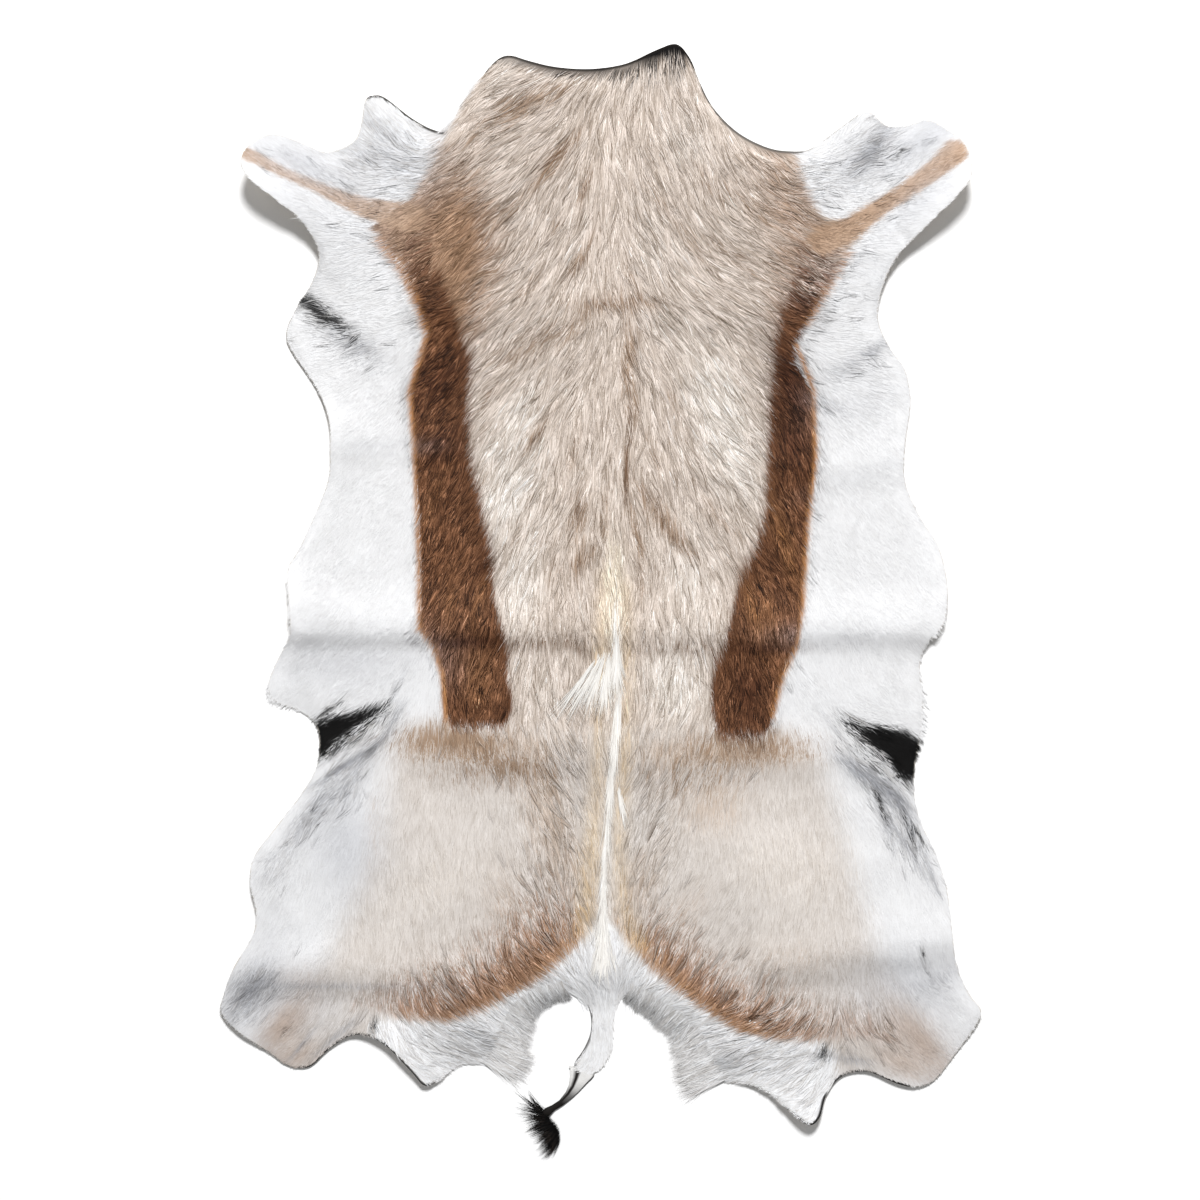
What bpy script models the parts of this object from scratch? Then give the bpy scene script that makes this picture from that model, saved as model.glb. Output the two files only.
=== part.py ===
# A springbok hide laid flat, hair side up, with its legs spread, its tail and the black tuft on it.
# Metres, +Z up. X runs across the hide and +Y from the tail to the neck. The origin is on the
# ground, at the middle of the box that the hide and its tuft fill.

import math

import bmesh
import bpy
import numpy as np
from mathutils import Vector
from mathutils.bvhtree import BVHTree
from mathutils.geometry import delaunay_2d_cdt

MM = 0.001

# The trimmed edge, a table for each stretch, running anticlockwise as seen from above.
# Columns: x and y in mm, and how far the edge curls up off the ground there, in mm.
NECK = (
    (90, 546, 6), (76, 561, 9), (55, 555, 9), (25, 542, 6), (-10, 537, 4),
    (-45, 539, 4), (-72, 545, 6), (-90, 550, 7), (-103, 546, 6),
)
LEFT_NECK_SIDE = ((-118, 530, 3), (-137, 502, 1), (-150, 477, 1))
LEFT_FORELEG_CUFF = (
    (-166, 476, 2), (-189, 488, 4), (-214, 507, 7), (-226, 510, 9), (-235, 504, 10),
    (-239, 480, 7), (-248, 463, 5), (-273, 453, 5),
)
LEFT_FORELEG = (
    (-296, 461, 8), (-325, 470, 14), (-347, 460, 20), (-357, 441, 26), (-348, 424, 28),
    (-324, 405, 26), (-300, 386, 22), (-284, 363, 16), (-281, 346, 10), (-289, 322, 5),
)
LEFT_FLANK = (
    (-304, 298, 3), (-314, 274, 4), (-308, 254, 3), (-285, 220, 4), (-272, 188, 7),
    (-270, 155, 7), (-274, 120, 4), (-300, 60, 3), (-312, 38, 7), (-311, 5, 11),
    (-310, -29, 8), (-323, -54, 4), (-332, -79, 3), (-325, -95, 2), (-302, -104, 1),
    (-285, -118, 1), (-281, -140, 1), (-285, -164, 1),
)
LEFT_HAUNCH = (
    (-301, -190, 1), (-325, -221, 1), (-346, -250, 4), (-350, -276, 7), (-344, -306, 6),
    (-348, -330, 3), (-366, -360, 2), (-377, -390, 3),
)
LEFT_HOCK = (
    (-379, -406, 5), (-361, -426, 6), (-332, -445, 3), (-312, -459, 2), (-291, -460, 2),
    (-272, -443, 3), (-253, -430, 5), (-236, -428, 8), (-214, -438, 11), (-188, -465, 10),
    (-176, -478, 7), (-162, -474, 4), (-142, -459, 1),
)
LEFT_RUMP = (
    (-117, -456, 0), (-99, -447, 0), (-92, -424, 0), (-80, -402, 0), (-60, -388, 0), (-36, -383, 0),
)
TAIL = (
    (-18, -391, 0), (-10, -407, 0), (-10, -426, 0), (-17, -443, 0), (-26, -457, 0),
    (-23, -467, 0), (-8, -467, 0), (4, -458, 0), (12, -436, 0), (13, -411, 0), (17, -393, 0),
)
RIGHT_RUMP = (
    (29, -386, 0), (50, -397, 0), (76, -414, 0), (97, -434, 0), (103, -457, 0), (122, -474, 0),
)
RIGHT_HOCK = (
    (148, -478, 4), (171, -488, 8), (195, -509, 14), (209, -517, 14), (219, -509, 9),
    (226, -487, 4), (242, -469, 3), (267, -465, 4), (295, -476, 5), (315, -480, 4),
    (334, -473, 2), (355, -447, 2), (375, -419, 4), (380, -403, 5),
)
RIGHT_HAUNCH = (
    (369, -388, 3), (356, -360, 1), (351, -325, 2), (346, -282, 2), (334, -245, 1),
    (318, -210, 1), (313, -173, 1), (319, -132, 1),
)
RIGHT_FLANK = (
    (322, -94, 2), (319, -62, 2), (325, -38, 3), (342, -18, 5), (347, 14, 4),
    (339, 57, 2), (318, 92, 1), (304, 127, 2), (305, 165, 2), (310, 205, 2),
    (304, 237, 2), (288, 260, 3), (277, 289, 4),
)
RIGHT_FORELEG = (
    (282, 320, 8), (296, 349, 14), (324, 378, 22), (354, 408, 27), (369, 431, 25),
    (362, 460, 16), (345, 475, 10), (326, 485, 7),
)
RIGHT_FORELEG_CUFF = (
    (303, 479, 5), (285, 480, 6), (266, 494, 8), (242, 480, 4), (211, 458, 2),
    (190, 455, 1), (166, 459, 1),
)
RIGHT_NECK_SIDE = ((137, 474, 1), (113, 498, 2), (99, 524, 4))
EDGE = (
    NECK, LEFT_NECK_SIDE, LEFT_FORELEG_CUFF, LEFT_FORELEG, LEFT_FLANK, LEFT_HAUNCH, LEFT_HOCK,
    LEFT_RUMP, TAIL, RIGHT_RUMP, RIGHT_HOCK, RIGHT_HAUNCH, RIGHT_FLANK, RIGHT_FORELEG,
    RIGHT_FORELEG_CUFF, RIGHT_NECK_SIDE,
)
EDGE_STEPS = 3
CURL_REACH = 62 * MM
CURL_POWER = 5

# The creases that folding for storage left, each a low ridge that runs across the hide.
# Columns: x where it starts and ends, y there, height, and the width of its side towards the
# neck and of its steeper side towards the tail, all in mm.
CREASES = (
    (-205, 235, 292, 296, 3.2, 30, 18),
    (-330, 10, 162, 168, 2.6, 26, 18),
    (0, 345, 128, 140, 2.6, 30, 18),
    (-345, 375, -22, -26, 7.0, 34, 15),
    (-215, 260, -150, -152, 4.0, 30, 16),
    (-410, -20, -364, -374, 6.5, 32, 16),
    (120, 400, -366, -330, 6.5, 32, 16),
)
CREASE_END = 55 * MM

# Soft swellings where the hide doesn't lie down. Columns: x, y, half width, half length and
# height, in mm. What rises less than GROUND_TOUCH is flat on the ground.
SWELLINGS = (
    (-330, 432, 62, 48, 13),
    (340, 432, 62, 48, 11),
    (-180, -262, 95, 75, 6),
    (185, -268, 95, 75, 6),
    (-205, 330, 70, 90, 4),
    (215, 330, 70, 90, 4),
    (-20, 430, 110, 60, 3),
)
GROUND_TOUCH = 1.0 * MM

# Between the hind legs the rump and the tail lie flat: from this line to the tail's end, within
# this distance of the middle, with this much hide to settle in.
REST_Y = -345 * MM
REST_HALF_WIDTH = 100 * MM
REST_BLEND = 40 * MM

# The thickness, skin and lying hair together. Columns of the thicker coats: x, y, half width,
# half length and extra hair, in mm.
SKIN = 1.6 * MM
PILE = 3.0 * MM
PILE_TAPER = 20 * MM
PILE_AT_CUT = 0.12
THICKER_COAT = (
    (0, 400, 150, 170, 1.2),
    (-120, -410, 80, 50, 2.0),
    (130, -420, 80, 50, 2.0),
    (0, -180, 40, 220, 1.0),
    (0, -430, 30, 40, -1.2),
)

# The spacing of the sheet's own points, closer along the hide because the creases cross it.
GRID_ACROSS = 25 * MM
GRID_ALONG = 14 * MM

GAP = 0.3 * MM

# The rump's long white hair, past the cut edge on both sides of the tail. Each side's locks have
# headings in degrees, anticlockwise from +X, at the start and end of its stretch of the edge, and
# lengths in mm at even steps along it.
FRINGE_BACKING_WIDTH = 4.0 * MM
FRINGE_BACKING_HEIGHT = 3.0 * MM
FRINGE_LOCKS = 24
FRINGE_LOCK_RADIUS = 1.25 * MM
FRINGE_LEFT = {"headings": (-24, -68), "lengths": (30, 24, 18)}
FRINGE_RIGHT = {"headings": (-108, -163), "lengths": (18, 27, 30, 27, 18)}
FRINGE_SWAY = 9
FRINGE_UNEVEN = 0.14

# The fan of long white hair along the spine, on top of the coat. Its locks leave a narrow strip
# on both sides in turn.
FAN_TOP_Y = 22 * MM
FAN_END_Y = -330 * MM
FAN_BACKING_WIDTH = 3.6 * MM
FAN_BACKING_HEIGHT = 2.0 * MM
FAN_BACKING_STEP = 8 * MM
FAN_LOCKS = 30
FAN_LOCK_RADIUS = 1.3 * MM
FAN_LOCK_LENGTH = 62 * MM
FAN_LOCK_ANGLE = math.radians(10)
FAN_ROOT_OFFSET = 1.4 * MM
FAN_CLEARANCE = 0.45 * MM
SPINE_TOP_X = 14 * MM
SPINE_TAIL_X = 2 * MM

# The black end of the tail, a dried strip that ends in a knot, and the tuft on it.
TAIL_STRIP = (
    (-22, -468.7), (-9, -468.7), (-13, -476), (-22, -488), (-33, -498), (-46, -507),
    (-53, -508), (-55, -502), (-47, -499), (-38, -491), (-31, -480), (-27, -472),
)
TAIL_STRIP_HEIGHT = 3.2 * MM
KNOT_CENTRE = (-52.5, -505.0)
KNOT_RADIUS = 5.2 * MM
KNOT_FLATNESS = 0.75
TUFT_LOCK_RADIUS = 1.9 * MM
# Columns: the lock's heading at its root and at its tip in degrees, anticlockwise from +X, and
# its length in mm. The fan is filled in evenly between these rows.
TUFT_FAN = (
    (118, 138, 30), (165, 192, 34), (208, 226, 37), (250, 236, 47), (285, 248, 57.6), (306, 250, 59),
)
TUFT_LOCKS = 24
TUFT_UNEVEN = 0.1

# A lock's thickness at its points, from root to tip, as a share of its radius.
LOCK_TAPER = (0.8, 1.0, 0.95, 0.8, 0.55, 0.2)


def clear_scene():
    for obj in list(bpy.data.objects):
        bpy.data.objects.remove(obj)


def new_collection(name):
    found = bpy.data.collections.new(name)
    bpy.context.scene.collection.children.link(found)
    return found


def material(name, colour, roughness):
    """A Principled BSDF with one colour and roughness."""
    made = bpy.data.materials.new(name)
    made.use_nodes = True
    shader = made.node_tree.nodes["Principled BSDF"]
    shader.inputs["Base Color"].default_value = (*colour, 1)
    shader.inputs["Roughness"].default_value = roughness
    made.diffuse_color = (*colour, 1)
    return made


def smoothstep(t):
    t = np.clip(t, 0, 1)
    return t * t * (3 - 2 * t)


def through(rows, steps):
    """A closed Catmull-Rom curve through the rows, with this many points for each row."""
    p1 = np.array(rows, float)
    p0, p2, p3 = np.roll(p1, 1, 0), np.roll(p1, -1, 0), np.roll(p1, -2, 0)
    t = (np.arange(steps) / steps)[None, :, None]
    p0, p1, p2, p3 = (p[:, None, :] for p in (p0, p1, p2, p3))
    curve = 0.5 * (
        2 * p1
        + (p2 - p0) * t
        + (2 * p0 - 5 * p1 + 4 * p2 - p3) * t**2
        + (3 * p1 - p0 - 3 * p2 + p3) * t**3
    )
    return curve.reshape(-1, p1.shape[-1])


def edge_curve():
    """The trimmed edge as rows of x, y and curl, in metres."""
    rows = [row for stretch in EDGE for row in stretch]
    curve = through(rows, EDGE_STEPS) * MM
    curve[:, 2] = np.maximum(curve[:, 2], 0)
    return curve


def stretch_of(edge, stretch):
    """The part of the edge curve that runs along one stretch's rows."""
    before = sum(len(s) for s in EDGE[: EDGE.index(stretch)])
    first = before * EDGE_STEPS
    return edge[first : first + (len(stretch) - 1) * EDGE_STEPS + 1]


def edge_nearness(x, y, edge):
    """(distance to the edge, the edge's curl near there), both smooth over the whole hide."""
    away = np.hypot(x[:, None] - edge[None, :, 0], y[:, None] - edge[None, :, 1])
    weight = (away + MM) ** -CURL_POWER
    curl = (weight * edge[None, :, 2]).sum(1) / weight.sum(1)
    return away.min(1), curl


def swellings(x, y, rows):
    total = np.zeros_like(x)
    for cx, cy, half_width, half_length, height in np.array(rows) * MM:
        total += height * np.exp(-(((x - cx) / half_width) ** 2) - ((y - cy) / half_length) ** 2)
    return total


def creases(x, y):
    total = np.zeros_like(x)
    for start, end, y_start, y_end, height, soft, steep in np.array(CREASES) * MM:
        along = (x - start) / (end - start)
        above = y - (y_start + (y_end - y_start) * along)
        width = np.where(above > 0, soft, steep)
        fade = smoothstep((x - start) / CREASE_END) * smoothstep((end - x) / CREASE_END)
        total += height * fade * np.exp(-((above / width) ** 2))
    return total


def underside(x, y, edge):
    """Height of the flesh side over the ground: curled edges, creases and swellings, else 0."""
    distance, curl = edge_nearness(x, y, edge)
    curled = curl * np.clip(1 - distance / CURL_REACH, 0, 1) ** 2
    raised = curled + creases(x, y) + swellings(x, y, SWELLINGS)
    before_rump = smoothstep((y - REST_Y) / REST_BLEND)
    beside_rump = smoothstep((abs(x) - REST_HALF_WIDTH) / REST_BLEND)
    raised *= np.clip(before_rump + beside_rump, 0, 1)
    return np.maximum(raised - GROUND_TOUCH, 0)


def thickness(x, y, edge):
    """Skin and lying hair: the skin alone at the cut edge, and the full pile from 20 mm in."""
    distance, _ = edge_nearness(x, y, edge)
    pile = PILE + swellings(x, y, THICKER_COAT)
    return SKIN + pile * smoothstep(PILE_AT_CUT + distance / PILE_TAPER)


def inner_points(edge):
    """Staggered rows of points inside the edge, none of them close to it."""
    low, high = edge[:, :2].min(0), edge[:, :2].max(0)
    columns = np.arange(low[0], high[0], GRID_ACROSS)
    rows = np.arange(low[1], high[1], GRID_ALONG)
    x, y = (grid.ravel() for grid in np.meshgrid(columns, rows))
    row_number = np.round((y - low[1]) / GRID_ALONG)
    x = x + np.where(row_number % 2, GRID_ACROSS / 2, 0)
    ahead = np.roll(edge[:, :2], -1, 0)
    crosses = (edge[:, 1] > y[:, None]) != (ahead[:, 1] > y[:, None])
    rise = np.where(ahead[:, 1] == edge[:, 1], MM, ahead[:, 1] - edge[:, 1])
    meets = edge[:, 0] + (y[:, None] - edge[:, 1]) / rise * (ahead[:, 0] - edge[:, 0])
    inside = (crosses & (x[:, None] < meets)).sum(1) % 2 == 1
    distance, _ = edge_nearness(x, y, edge)
    kept = inside & (distance > 0.5 * GRID_ALONG)
    return np.column_stack([x[kept], y[kept]])


def make_hide(edge, coat, collection):
    """The whole skin with its coat: an open sheet on its folds, given its thickness upwards."""
    flat = np.vstack([edge[:, :2], inner_points(edge)])
    border = [(i, (i + 1) % len(edge)) for i in range(len(edge))]
    points, _, faces = delaunay_2d_cdt([Vector(p) for p in flat], border, [], 1, MM * 0.01)[:3]
    x, y = np.array(points).T
    height = underside(x, y, edge)
    full = thickness(x, y, edge)
    mesh = bpy.data.meshes.new("hide")
    mesh.from_pydata(np.column_stack([x, y, height]).tolist(), [], faces)
    build = bmesh.new()
    build.from_mesh(mesh)
    bmesh.ops.recalc_face_normals(build, faces=build.faces)
    if sum(face.normal.z for face in build.faces) < 0:
        bmesh.ops.reverse_faces(build, faces=build.faces)
    build.to_mesh(mesh)
    build.free()
    mesh.materials.append(coat)
    mesh.shade_smooth()
    hide = bpy.data.objects.new("hide", mesh)
    collection.objects.link(hide)
    group = hide.vertex_groups.new(name="pile")
    for index, share in enumerate(full / full.max()):
        group.add([index], float(share), "REPLACE")
    solid = hide.modifiers.new("thickness", "SOLIDIFY")
    solid.thickness = float(full.max())
    solid.offset = 1
    solid.use_even_offset = False
    solid.vertex_group = "pile"
    return hide


def evaluated_mesh(obj):
    """The object's mesh with its modifiers, and with a curve's loose caps welded on."""
    graph = bpy.context.evaluated_depsgraph_get()
    mesh = bpy.data.meshes.new_from_object(obj.evaluated_get(graph))
    build = bmesh.new()
    build.from_mesh(mesh)
    bmesh.ops.remove_doubles(build, verts=build.verts, dist=0.01 * MM)
    bmesh.ops.recalc_face_normals(build, faces=build.faces)
    build.to_mesh(mesh)
    build.free()
    return mesh


def mesh_from_curve(curve_object, collection):
    """Turns a curve object into a mesh object with the same name and place."""
    bpy.context.view_layer.update()
    mesh = evaluated_mesh(curve_object)
    name, place = curve_object.name, curve_object.matrix_world.copy()
    bpy.data.objects.remove(curve_object)
    made = bpy.data.objects.new(name, mesh)
    made.matrix_world = place
    collection.objects.link(made)
    return made


def flat_piece(name, outline, height, collection):
    """A flat outline in plan, standing on the ground with this height."""
    curve = bpy.data.curves.new(name, "CURVE")
    curve.dimensions = "2D"
    curve.fill_mode = "BOTH"
    curve.extrude = height / 2
    spline = curve.splines.new("POLY")
    spline.points.add(len(outline) - 1)
    for point, (x, y) in zip(spline.points, outline):
        point.co = (x, y, 0, 1)
    spline.use_cyclic_u = True
    made = bpy.data.objects.new(name, curve)
    made.location = (0, 0, height / 2)
    collection.objects.link(made)
    return mesh_from_curve(made, collection)


def lock_tubes(name, paths, radius, collection):
    """Locks of hair as four-sided tubes that taper from their roots to fine tips."""
    curve = bpy.data.curves.new(name, "CURVE")
    curve.dimensions = "3D"
    curve.twist_mode = "Z_UP"
    curve.bevel_depth = radius
    curve.bevel_resolution = 0
    curve.use_fill_caps = True
    for path in paths:
        spline = curve.splines.new("POLY")
        spline.points.add(len(path) - 1)
        for point, place, share in zip(spline.points, path, LOCK_TAPER):
            point.co = (*place, 1)
            point.radius = share
    made = bpy.data.objects.new(name, curve)
    collection.objects.link(made)
    return mesh_from_curve(made, collection)


def fuse(backing, locks, locks_overlap=False):
    """Joins the locks' roots to their backing."""
    locks.hide_render = True
    locks.display_type = "WIRE"
    union = backing.modifiers.new("locks", "BOOLEAN")
    union.operation = "UNION"
    union.object = locks
    union.use_self = locks_overlap


def plan_path(root, start_heading, end_heading, length):
    """Points in plan of a lock that turns evenly from one heading to the other."""
    heading = np.radians(np.linspace(start_heading, end_heading, len(LOCK_TAPER) - 1))
    step = length / (len(LOCK_TAPER) - 1)
    moves = np.column_stack([np.cos(heading), np.sin(heading)]) * step
    return np.vstack([root, root + np.cumsum(moves, 0)])


def lay_down(path, root_height, radius):
    """Gives a plan path the heights that take it from its root down to rest on the ground."""
    fall = smoothstep(np.linspace(0, 2.2, len(LOCK_TAPER)))
    height = root_height * (1 - fall) + (radius * np.array(LOCK_TAPER) + 0.02 * MM) * fall
    return np.column_stack([path, height])


def spread(values, shares):
    """Values given at even steps from 0 to 1, read at these shares."""
    return np.interp(shares, np.linspace(0, 1, len(values)), values)


def make_fringe(name, edge, stretch, side, hair, collection, helpers):
    """The rump's long hair: a strip along the cut edge with locks that lie on the ground."""
    line = stretch_of(edge, stretch)[:, :2]
    tangent = np.gradient(line, axis=0)
    tangent /= np.linalg.norm(tangent, axis=1)[:, None]
    outward = np.column_stack([tangent[:, 1], -tangent[:, 0]])
    inner = line + outward * GAP
    outer = line + outward * (GAP + FRINGE_BACKING_WIDTH)
    backing = flat_piece(name, np.vstack([inner, outer[::-1]]), FRINGE_BACKING_HEIGHT, collection)
    backing.data.materials.append(hair)
    middle = (inner + outer) / 2
    shares = np.linspace(0.02, 0.98, FRINGE_LOCKS)
    roots = np.column_stack([spread(middle[:, 0], shares), spread(middle[:, 1], shares)])
    headings = spread(side["headings"], shares)
    number = np.arange(FRINGE_LOCKS)
    turns = FRINGE_SWAY * np.sin(2.4 * number)
    lengths = spread(side["lengths"], shares) * (1 - FRINGE_UNEVEN * np.sin(0.85 * number) ** 2) * MM
    paths = [
        lay_down(plan_path(*row), FRINGE_BACKING_HEIGHT / 2, FRINGE_LOCK_RADIUS)
        for row in zip(roots, headings, headings + turns, lengths)
    ]
    fuse(backing, lock_tubes(name + "_locks", paths, FRINGE_LOCK_RADIUS, helpers))
    return backing


def coat_surface(hide):
    """A function that gives the height of the hide's top at a point in plan."""
    mesh = evaluated_mesh(hide)
    build = bmesh.new()
    build.from_mesh(mesh)
    tree = BVHTree.FromBMesh(build)
    build.free()
    bpy.data.meshes.remove(mesh)

    def top(x, y):
        return tree.ray_cast(Vector((x, y, 0.2)), Vector((0, 0, -1)))[0].z

    return top


def highest_near(top, x, y, reach):
    """The coat's highest point within this reach along the hide, so that a span clears it."""
    half = FAN_BACKING_WIDTH / 2
    steps = [(side, step * reach) for side in (-half, half) for step in (-1, -0.5, 0, 0.5, 1)]
    return max(top(x + across, y + along) for across, along in steps)


def spine_x(y):
    """The spine line's place across the hide, which drifts a little towards the tail."""
    share = (FAN_TOP_Y - y) / (FAN_TOP_Y - FAN_END_Y)
    return SPINE_TOP_X + (SPINE_TAIL_X - SPINE_TOP_X) * share**1.5


def make_fan(top, hair, collection, helpers):
    """The spine's fan of long white hair: a narrow strip on the coat with locks lying on it."""
    span = FAN_LOCK_LENGTH / (len(LOCK_TAPER) - 1)
    count = round((FAN_TOP_Y - FAN_END_Y) / FAN_BACKING_STEP)
    y = np.linspace(FAN_TOP_Y, FAN_END_Y, count)
    x = spine_x(y)
    coat = np.array([highest_near(top, u, v, span) for u, v in zip(x, y)])
    left = np.column_stack([x - FAN_BACKING_WIDTH / 2, y, coat + FAN_CLEARANCE])
    right = np.column_stack([x + FAN_BACKING_WIDTH / 2, y, coat + FAN_CLEARANCE])
    mesh = bpy.data.meshes.new("spine_fan")
    quads = [(i, i + 1, i + count + 1, i + count) for i in range(count - 1)]
    mesh.from_pydata(np.vstack([left, right]).tolist(), [], quads)
    mesh.materials.append(hair)
    strip = bpy.data.objects.new("spine_fan", mesh)
    collection.objects.link(strip)
    solid = strip.modifiers.new("thickness", "SOLIDIFY")
    solid.thickness = FAN_BACKING_HEIGHT
    solid.offset = 1
    paths = []
    for number, root_y in enumerate(np.linspace(FAN_TOP_Y - span, FAN_END_Y + span, FAN_LOCKS)):
        side = -1 if number % 2 else 1
        path = lock_on_coat(top, root_y, side, span)
        path[0, 2] = np.interp(-root_y, -y, coat) + FAN_CLEARANCE + FAN_LOCK_RADIUS
        paths.append(path)
    fuse(strip, lock_tubes("spine_fan_locks", paths, FAN_LOCK_RADIUS, helpers))
    return strip


def lock_on_coat(top, root_y, side, span):
    """A lock that leaves the spine strip on one side and lies on the coat, this far a step."""
    along = span * np.arange(len(LOCK_TAPER))
    y = root_y - along * math.cos(FAN_LOCK_ANGLE)
    x = spine_x(root_y) + side * (FAN_ROOT_OFFSET + along * math.sin(FAN_LOCK_ANGLE))
    coat = np.array([highest_near(top, u, v, span) for u, v in zip(x, y)])
    return np.column_stack([x, y, coat + FAN_CLEARANCE + FAN_LOCK_RADIUS])


def make_knot(name, helpers):
    """The tail's last joint, a flattened ball that stands on the ground."""
    height = KNOT_RADIUS * KNOT_FLATNESS
    place = (KNOT_CENTRE[0] * MM, KNOT_CENTRE[1] * MM, height)
    bpy.ops.mesh.primitive_uv_sphere_add(
        segments=16, ring_count=8, radius=KNOT_RADIUS, location=place, scale=(1, 1, KNOT_FLATNESS)
    )
    knot = bpy.context.object
    knot.name = name
    for home in knot.users_collection:
        home.objects.unlink(knot)
    helpers.objects.link(knot)
    return knot


def make_tail_tuft(hair, collection, helpers):
    """The tail's black end: a dried strip, a knot, and a tuft of long hair that fans from it."""
    strip = flat_piece("tail_tuft", np.array(TAIL_STRIP) * MM, TAIL_STRIP_HEIGHT, collection)
    strip.data.materials.append(hair)
    fuse(strip, make_knot("tail_knot", helpers))
    shares = np.linspace(0, 1, TUFT_LOCKS)
    starts, ends, lengths = (spread(column, shares) for column in np.array(TUFT_FAN).T)
    uneven = 1 - TUFT_UNEVEN * (1 - np.cos(2.1 * np.arange(TUFT_LOCKS)))
    root = np.array(KNOT_CENTRE) * MM
    paths = [
        lay_down(plan_path(root, start, end, length), KNOT_RADIUS * KNOT_FLATNESS, TUFT_LOCK_RADIUS)
        for start, end, length in zip(starts, ends, lengths * uneven * MM)
    ]
    fuse(strip, lock_tubes("tail_tuft_locks", paths, TUFT_LOCK_RADIUS, helpers), locks_overlap=True)
    return strip


def main():
    clear_scene()
    hide_collection = new_collection("springbok_hide")
    helpers = new_collection("helpers")
    coat = material("coat", (0.60, 0.51, 0.44), 0.85)
    white_hair = material("white_hair", (0.80, 0.79, 0.77), 0.8)
    black_hair = material("black_hair", (0.02, 0.018, 0.018), 0.7)
    edge = edge_curve()
    hide = make_hide(edge, coat, hide_collection)
    bpy.context.view_layer.update()
    homes = (white_hair, hide_collection, helpers)
    make_fringe("rump_hair_left", edge, LEFT_RUMP, FRINGE_LEFT, *homes)
    make_fringe("rump_hair_right", edge, RIGHT_RUMP, FRINGE_RIGHT, *homes)
    make_fan(coat_surface(hide), white_hair, hide_collection, helpers)
    make_tail_tuft(black_hair, hide_collection, helpers)


main()
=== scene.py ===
# The looks of a springbok hide laid flat, hair side up: the tanned skin with its cut edge, and a
# coat of separate hairs that are combed, gathered into wisps and coloured by the regions of the
# animal, with long hair on the rump, along the spine and on the tail.
# Objects are in metres. The tables below are in millimetres, +X across the hide and +Y towards the
# neck, because they describe the hide as it lies in plan.

import math

import bmesh
import bpy
import numpy as np
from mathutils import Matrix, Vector
from mathutils.bvhtree import BVHTree
from mathutils.geometry import delaunay_2d_cdt


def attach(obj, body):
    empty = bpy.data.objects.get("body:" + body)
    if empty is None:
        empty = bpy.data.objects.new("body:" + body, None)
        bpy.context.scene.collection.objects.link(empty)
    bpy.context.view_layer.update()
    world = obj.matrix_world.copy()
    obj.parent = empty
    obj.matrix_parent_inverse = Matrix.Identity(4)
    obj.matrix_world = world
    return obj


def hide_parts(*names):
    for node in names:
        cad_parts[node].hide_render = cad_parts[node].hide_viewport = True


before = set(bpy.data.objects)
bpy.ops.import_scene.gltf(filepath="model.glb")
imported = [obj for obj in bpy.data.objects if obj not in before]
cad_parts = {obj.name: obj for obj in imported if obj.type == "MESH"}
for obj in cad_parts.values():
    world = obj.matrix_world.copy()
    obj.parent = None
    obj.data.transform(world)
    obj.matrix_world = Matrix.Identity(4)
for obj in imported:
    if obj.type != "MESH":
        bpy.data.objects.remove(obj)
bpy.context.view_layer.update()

MM = 0.001
NEVER = 1e9
UPWARDS = np.array([0.0, 0.0, 1.0])

# The tanned skin under the hair.
SKIN_THICKNESS = 1.4
UNDERFUR = 0.62
SKIN_STEP = 6.0
EDGE_STEPS = 3
MARGINS = (1.8, 3.4)

# Plan grids that heights, distances and headings are read from.
GRID_STEP = 3.0
GRID_MARGIN = 60.0
HEIGHT_BLUR = 2

ROOT_SPACING = 1.2

# Where each kind of piece starts its random draws.
SEEDS = {"coat": 11, "wisps": 12, "spine": 51, "tuft": 61, "skin": 71, "rump": 81}

# The line that the coat mirrors about, in plan.
SPINE_X = 8.0

# The way the hair lies on both sides of the spine. For each y: distances out from the spine, each
# with how far the hair turns outwards there from straight towards the tail, in degrees.
COMB = {
    385: ((0, 0), (30, 15), (60, 34), (100, 46), (150, 52), (190, 64)),
    340: ((0, 3), (40, 22), (80, 42), (120, 54), (160, 54), (195, 56)),
    300: ((0, 0), (30, 20), (60, 38), (100, 52), (140, 62), (180, 58)),
    250: ((0, 2), (40, 22), (75, 34), (115, 46), (155, 40), (180, 36)),
    190: ((0, 0), (40, 17), (80, 30), (122, 38), (165, 32), (190, 25)),
    130: ((0, 0), (40, 16), (80, 28), (122, 36), (160, 25), (188, 18)),
    70: ((0, 0), (40, 14), (80, 20), (118, 28), (155, 24), (180, 18)),
    10: ((0, 0), (45, 4), (85, 8), (125, 18), (160, 18)),
    -60: ((0, 0), (40, -2), (80, 0), (125, 8), (160, 6)),
    -110: ((0, 0), (30, -15), (60, -18), (95, -6), (140, 2)),
    -160: ((0, 0), (35, -20), (75, -15), (120, -6), (170, 0), (210, 5)),
    -230: ((0, 0), (30, -20), (65, -20), (115, -8), (175, 0), (235, 5)),
    -300: ((0, 0), (25, -18), (60, -26), (110, -15), (170, -4), (230, 2)),
    -360: ((8, -10), (30, -30), (60, -38), (100, -30), (150, -22), (200, -10), (240, 2)),
}
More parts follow.
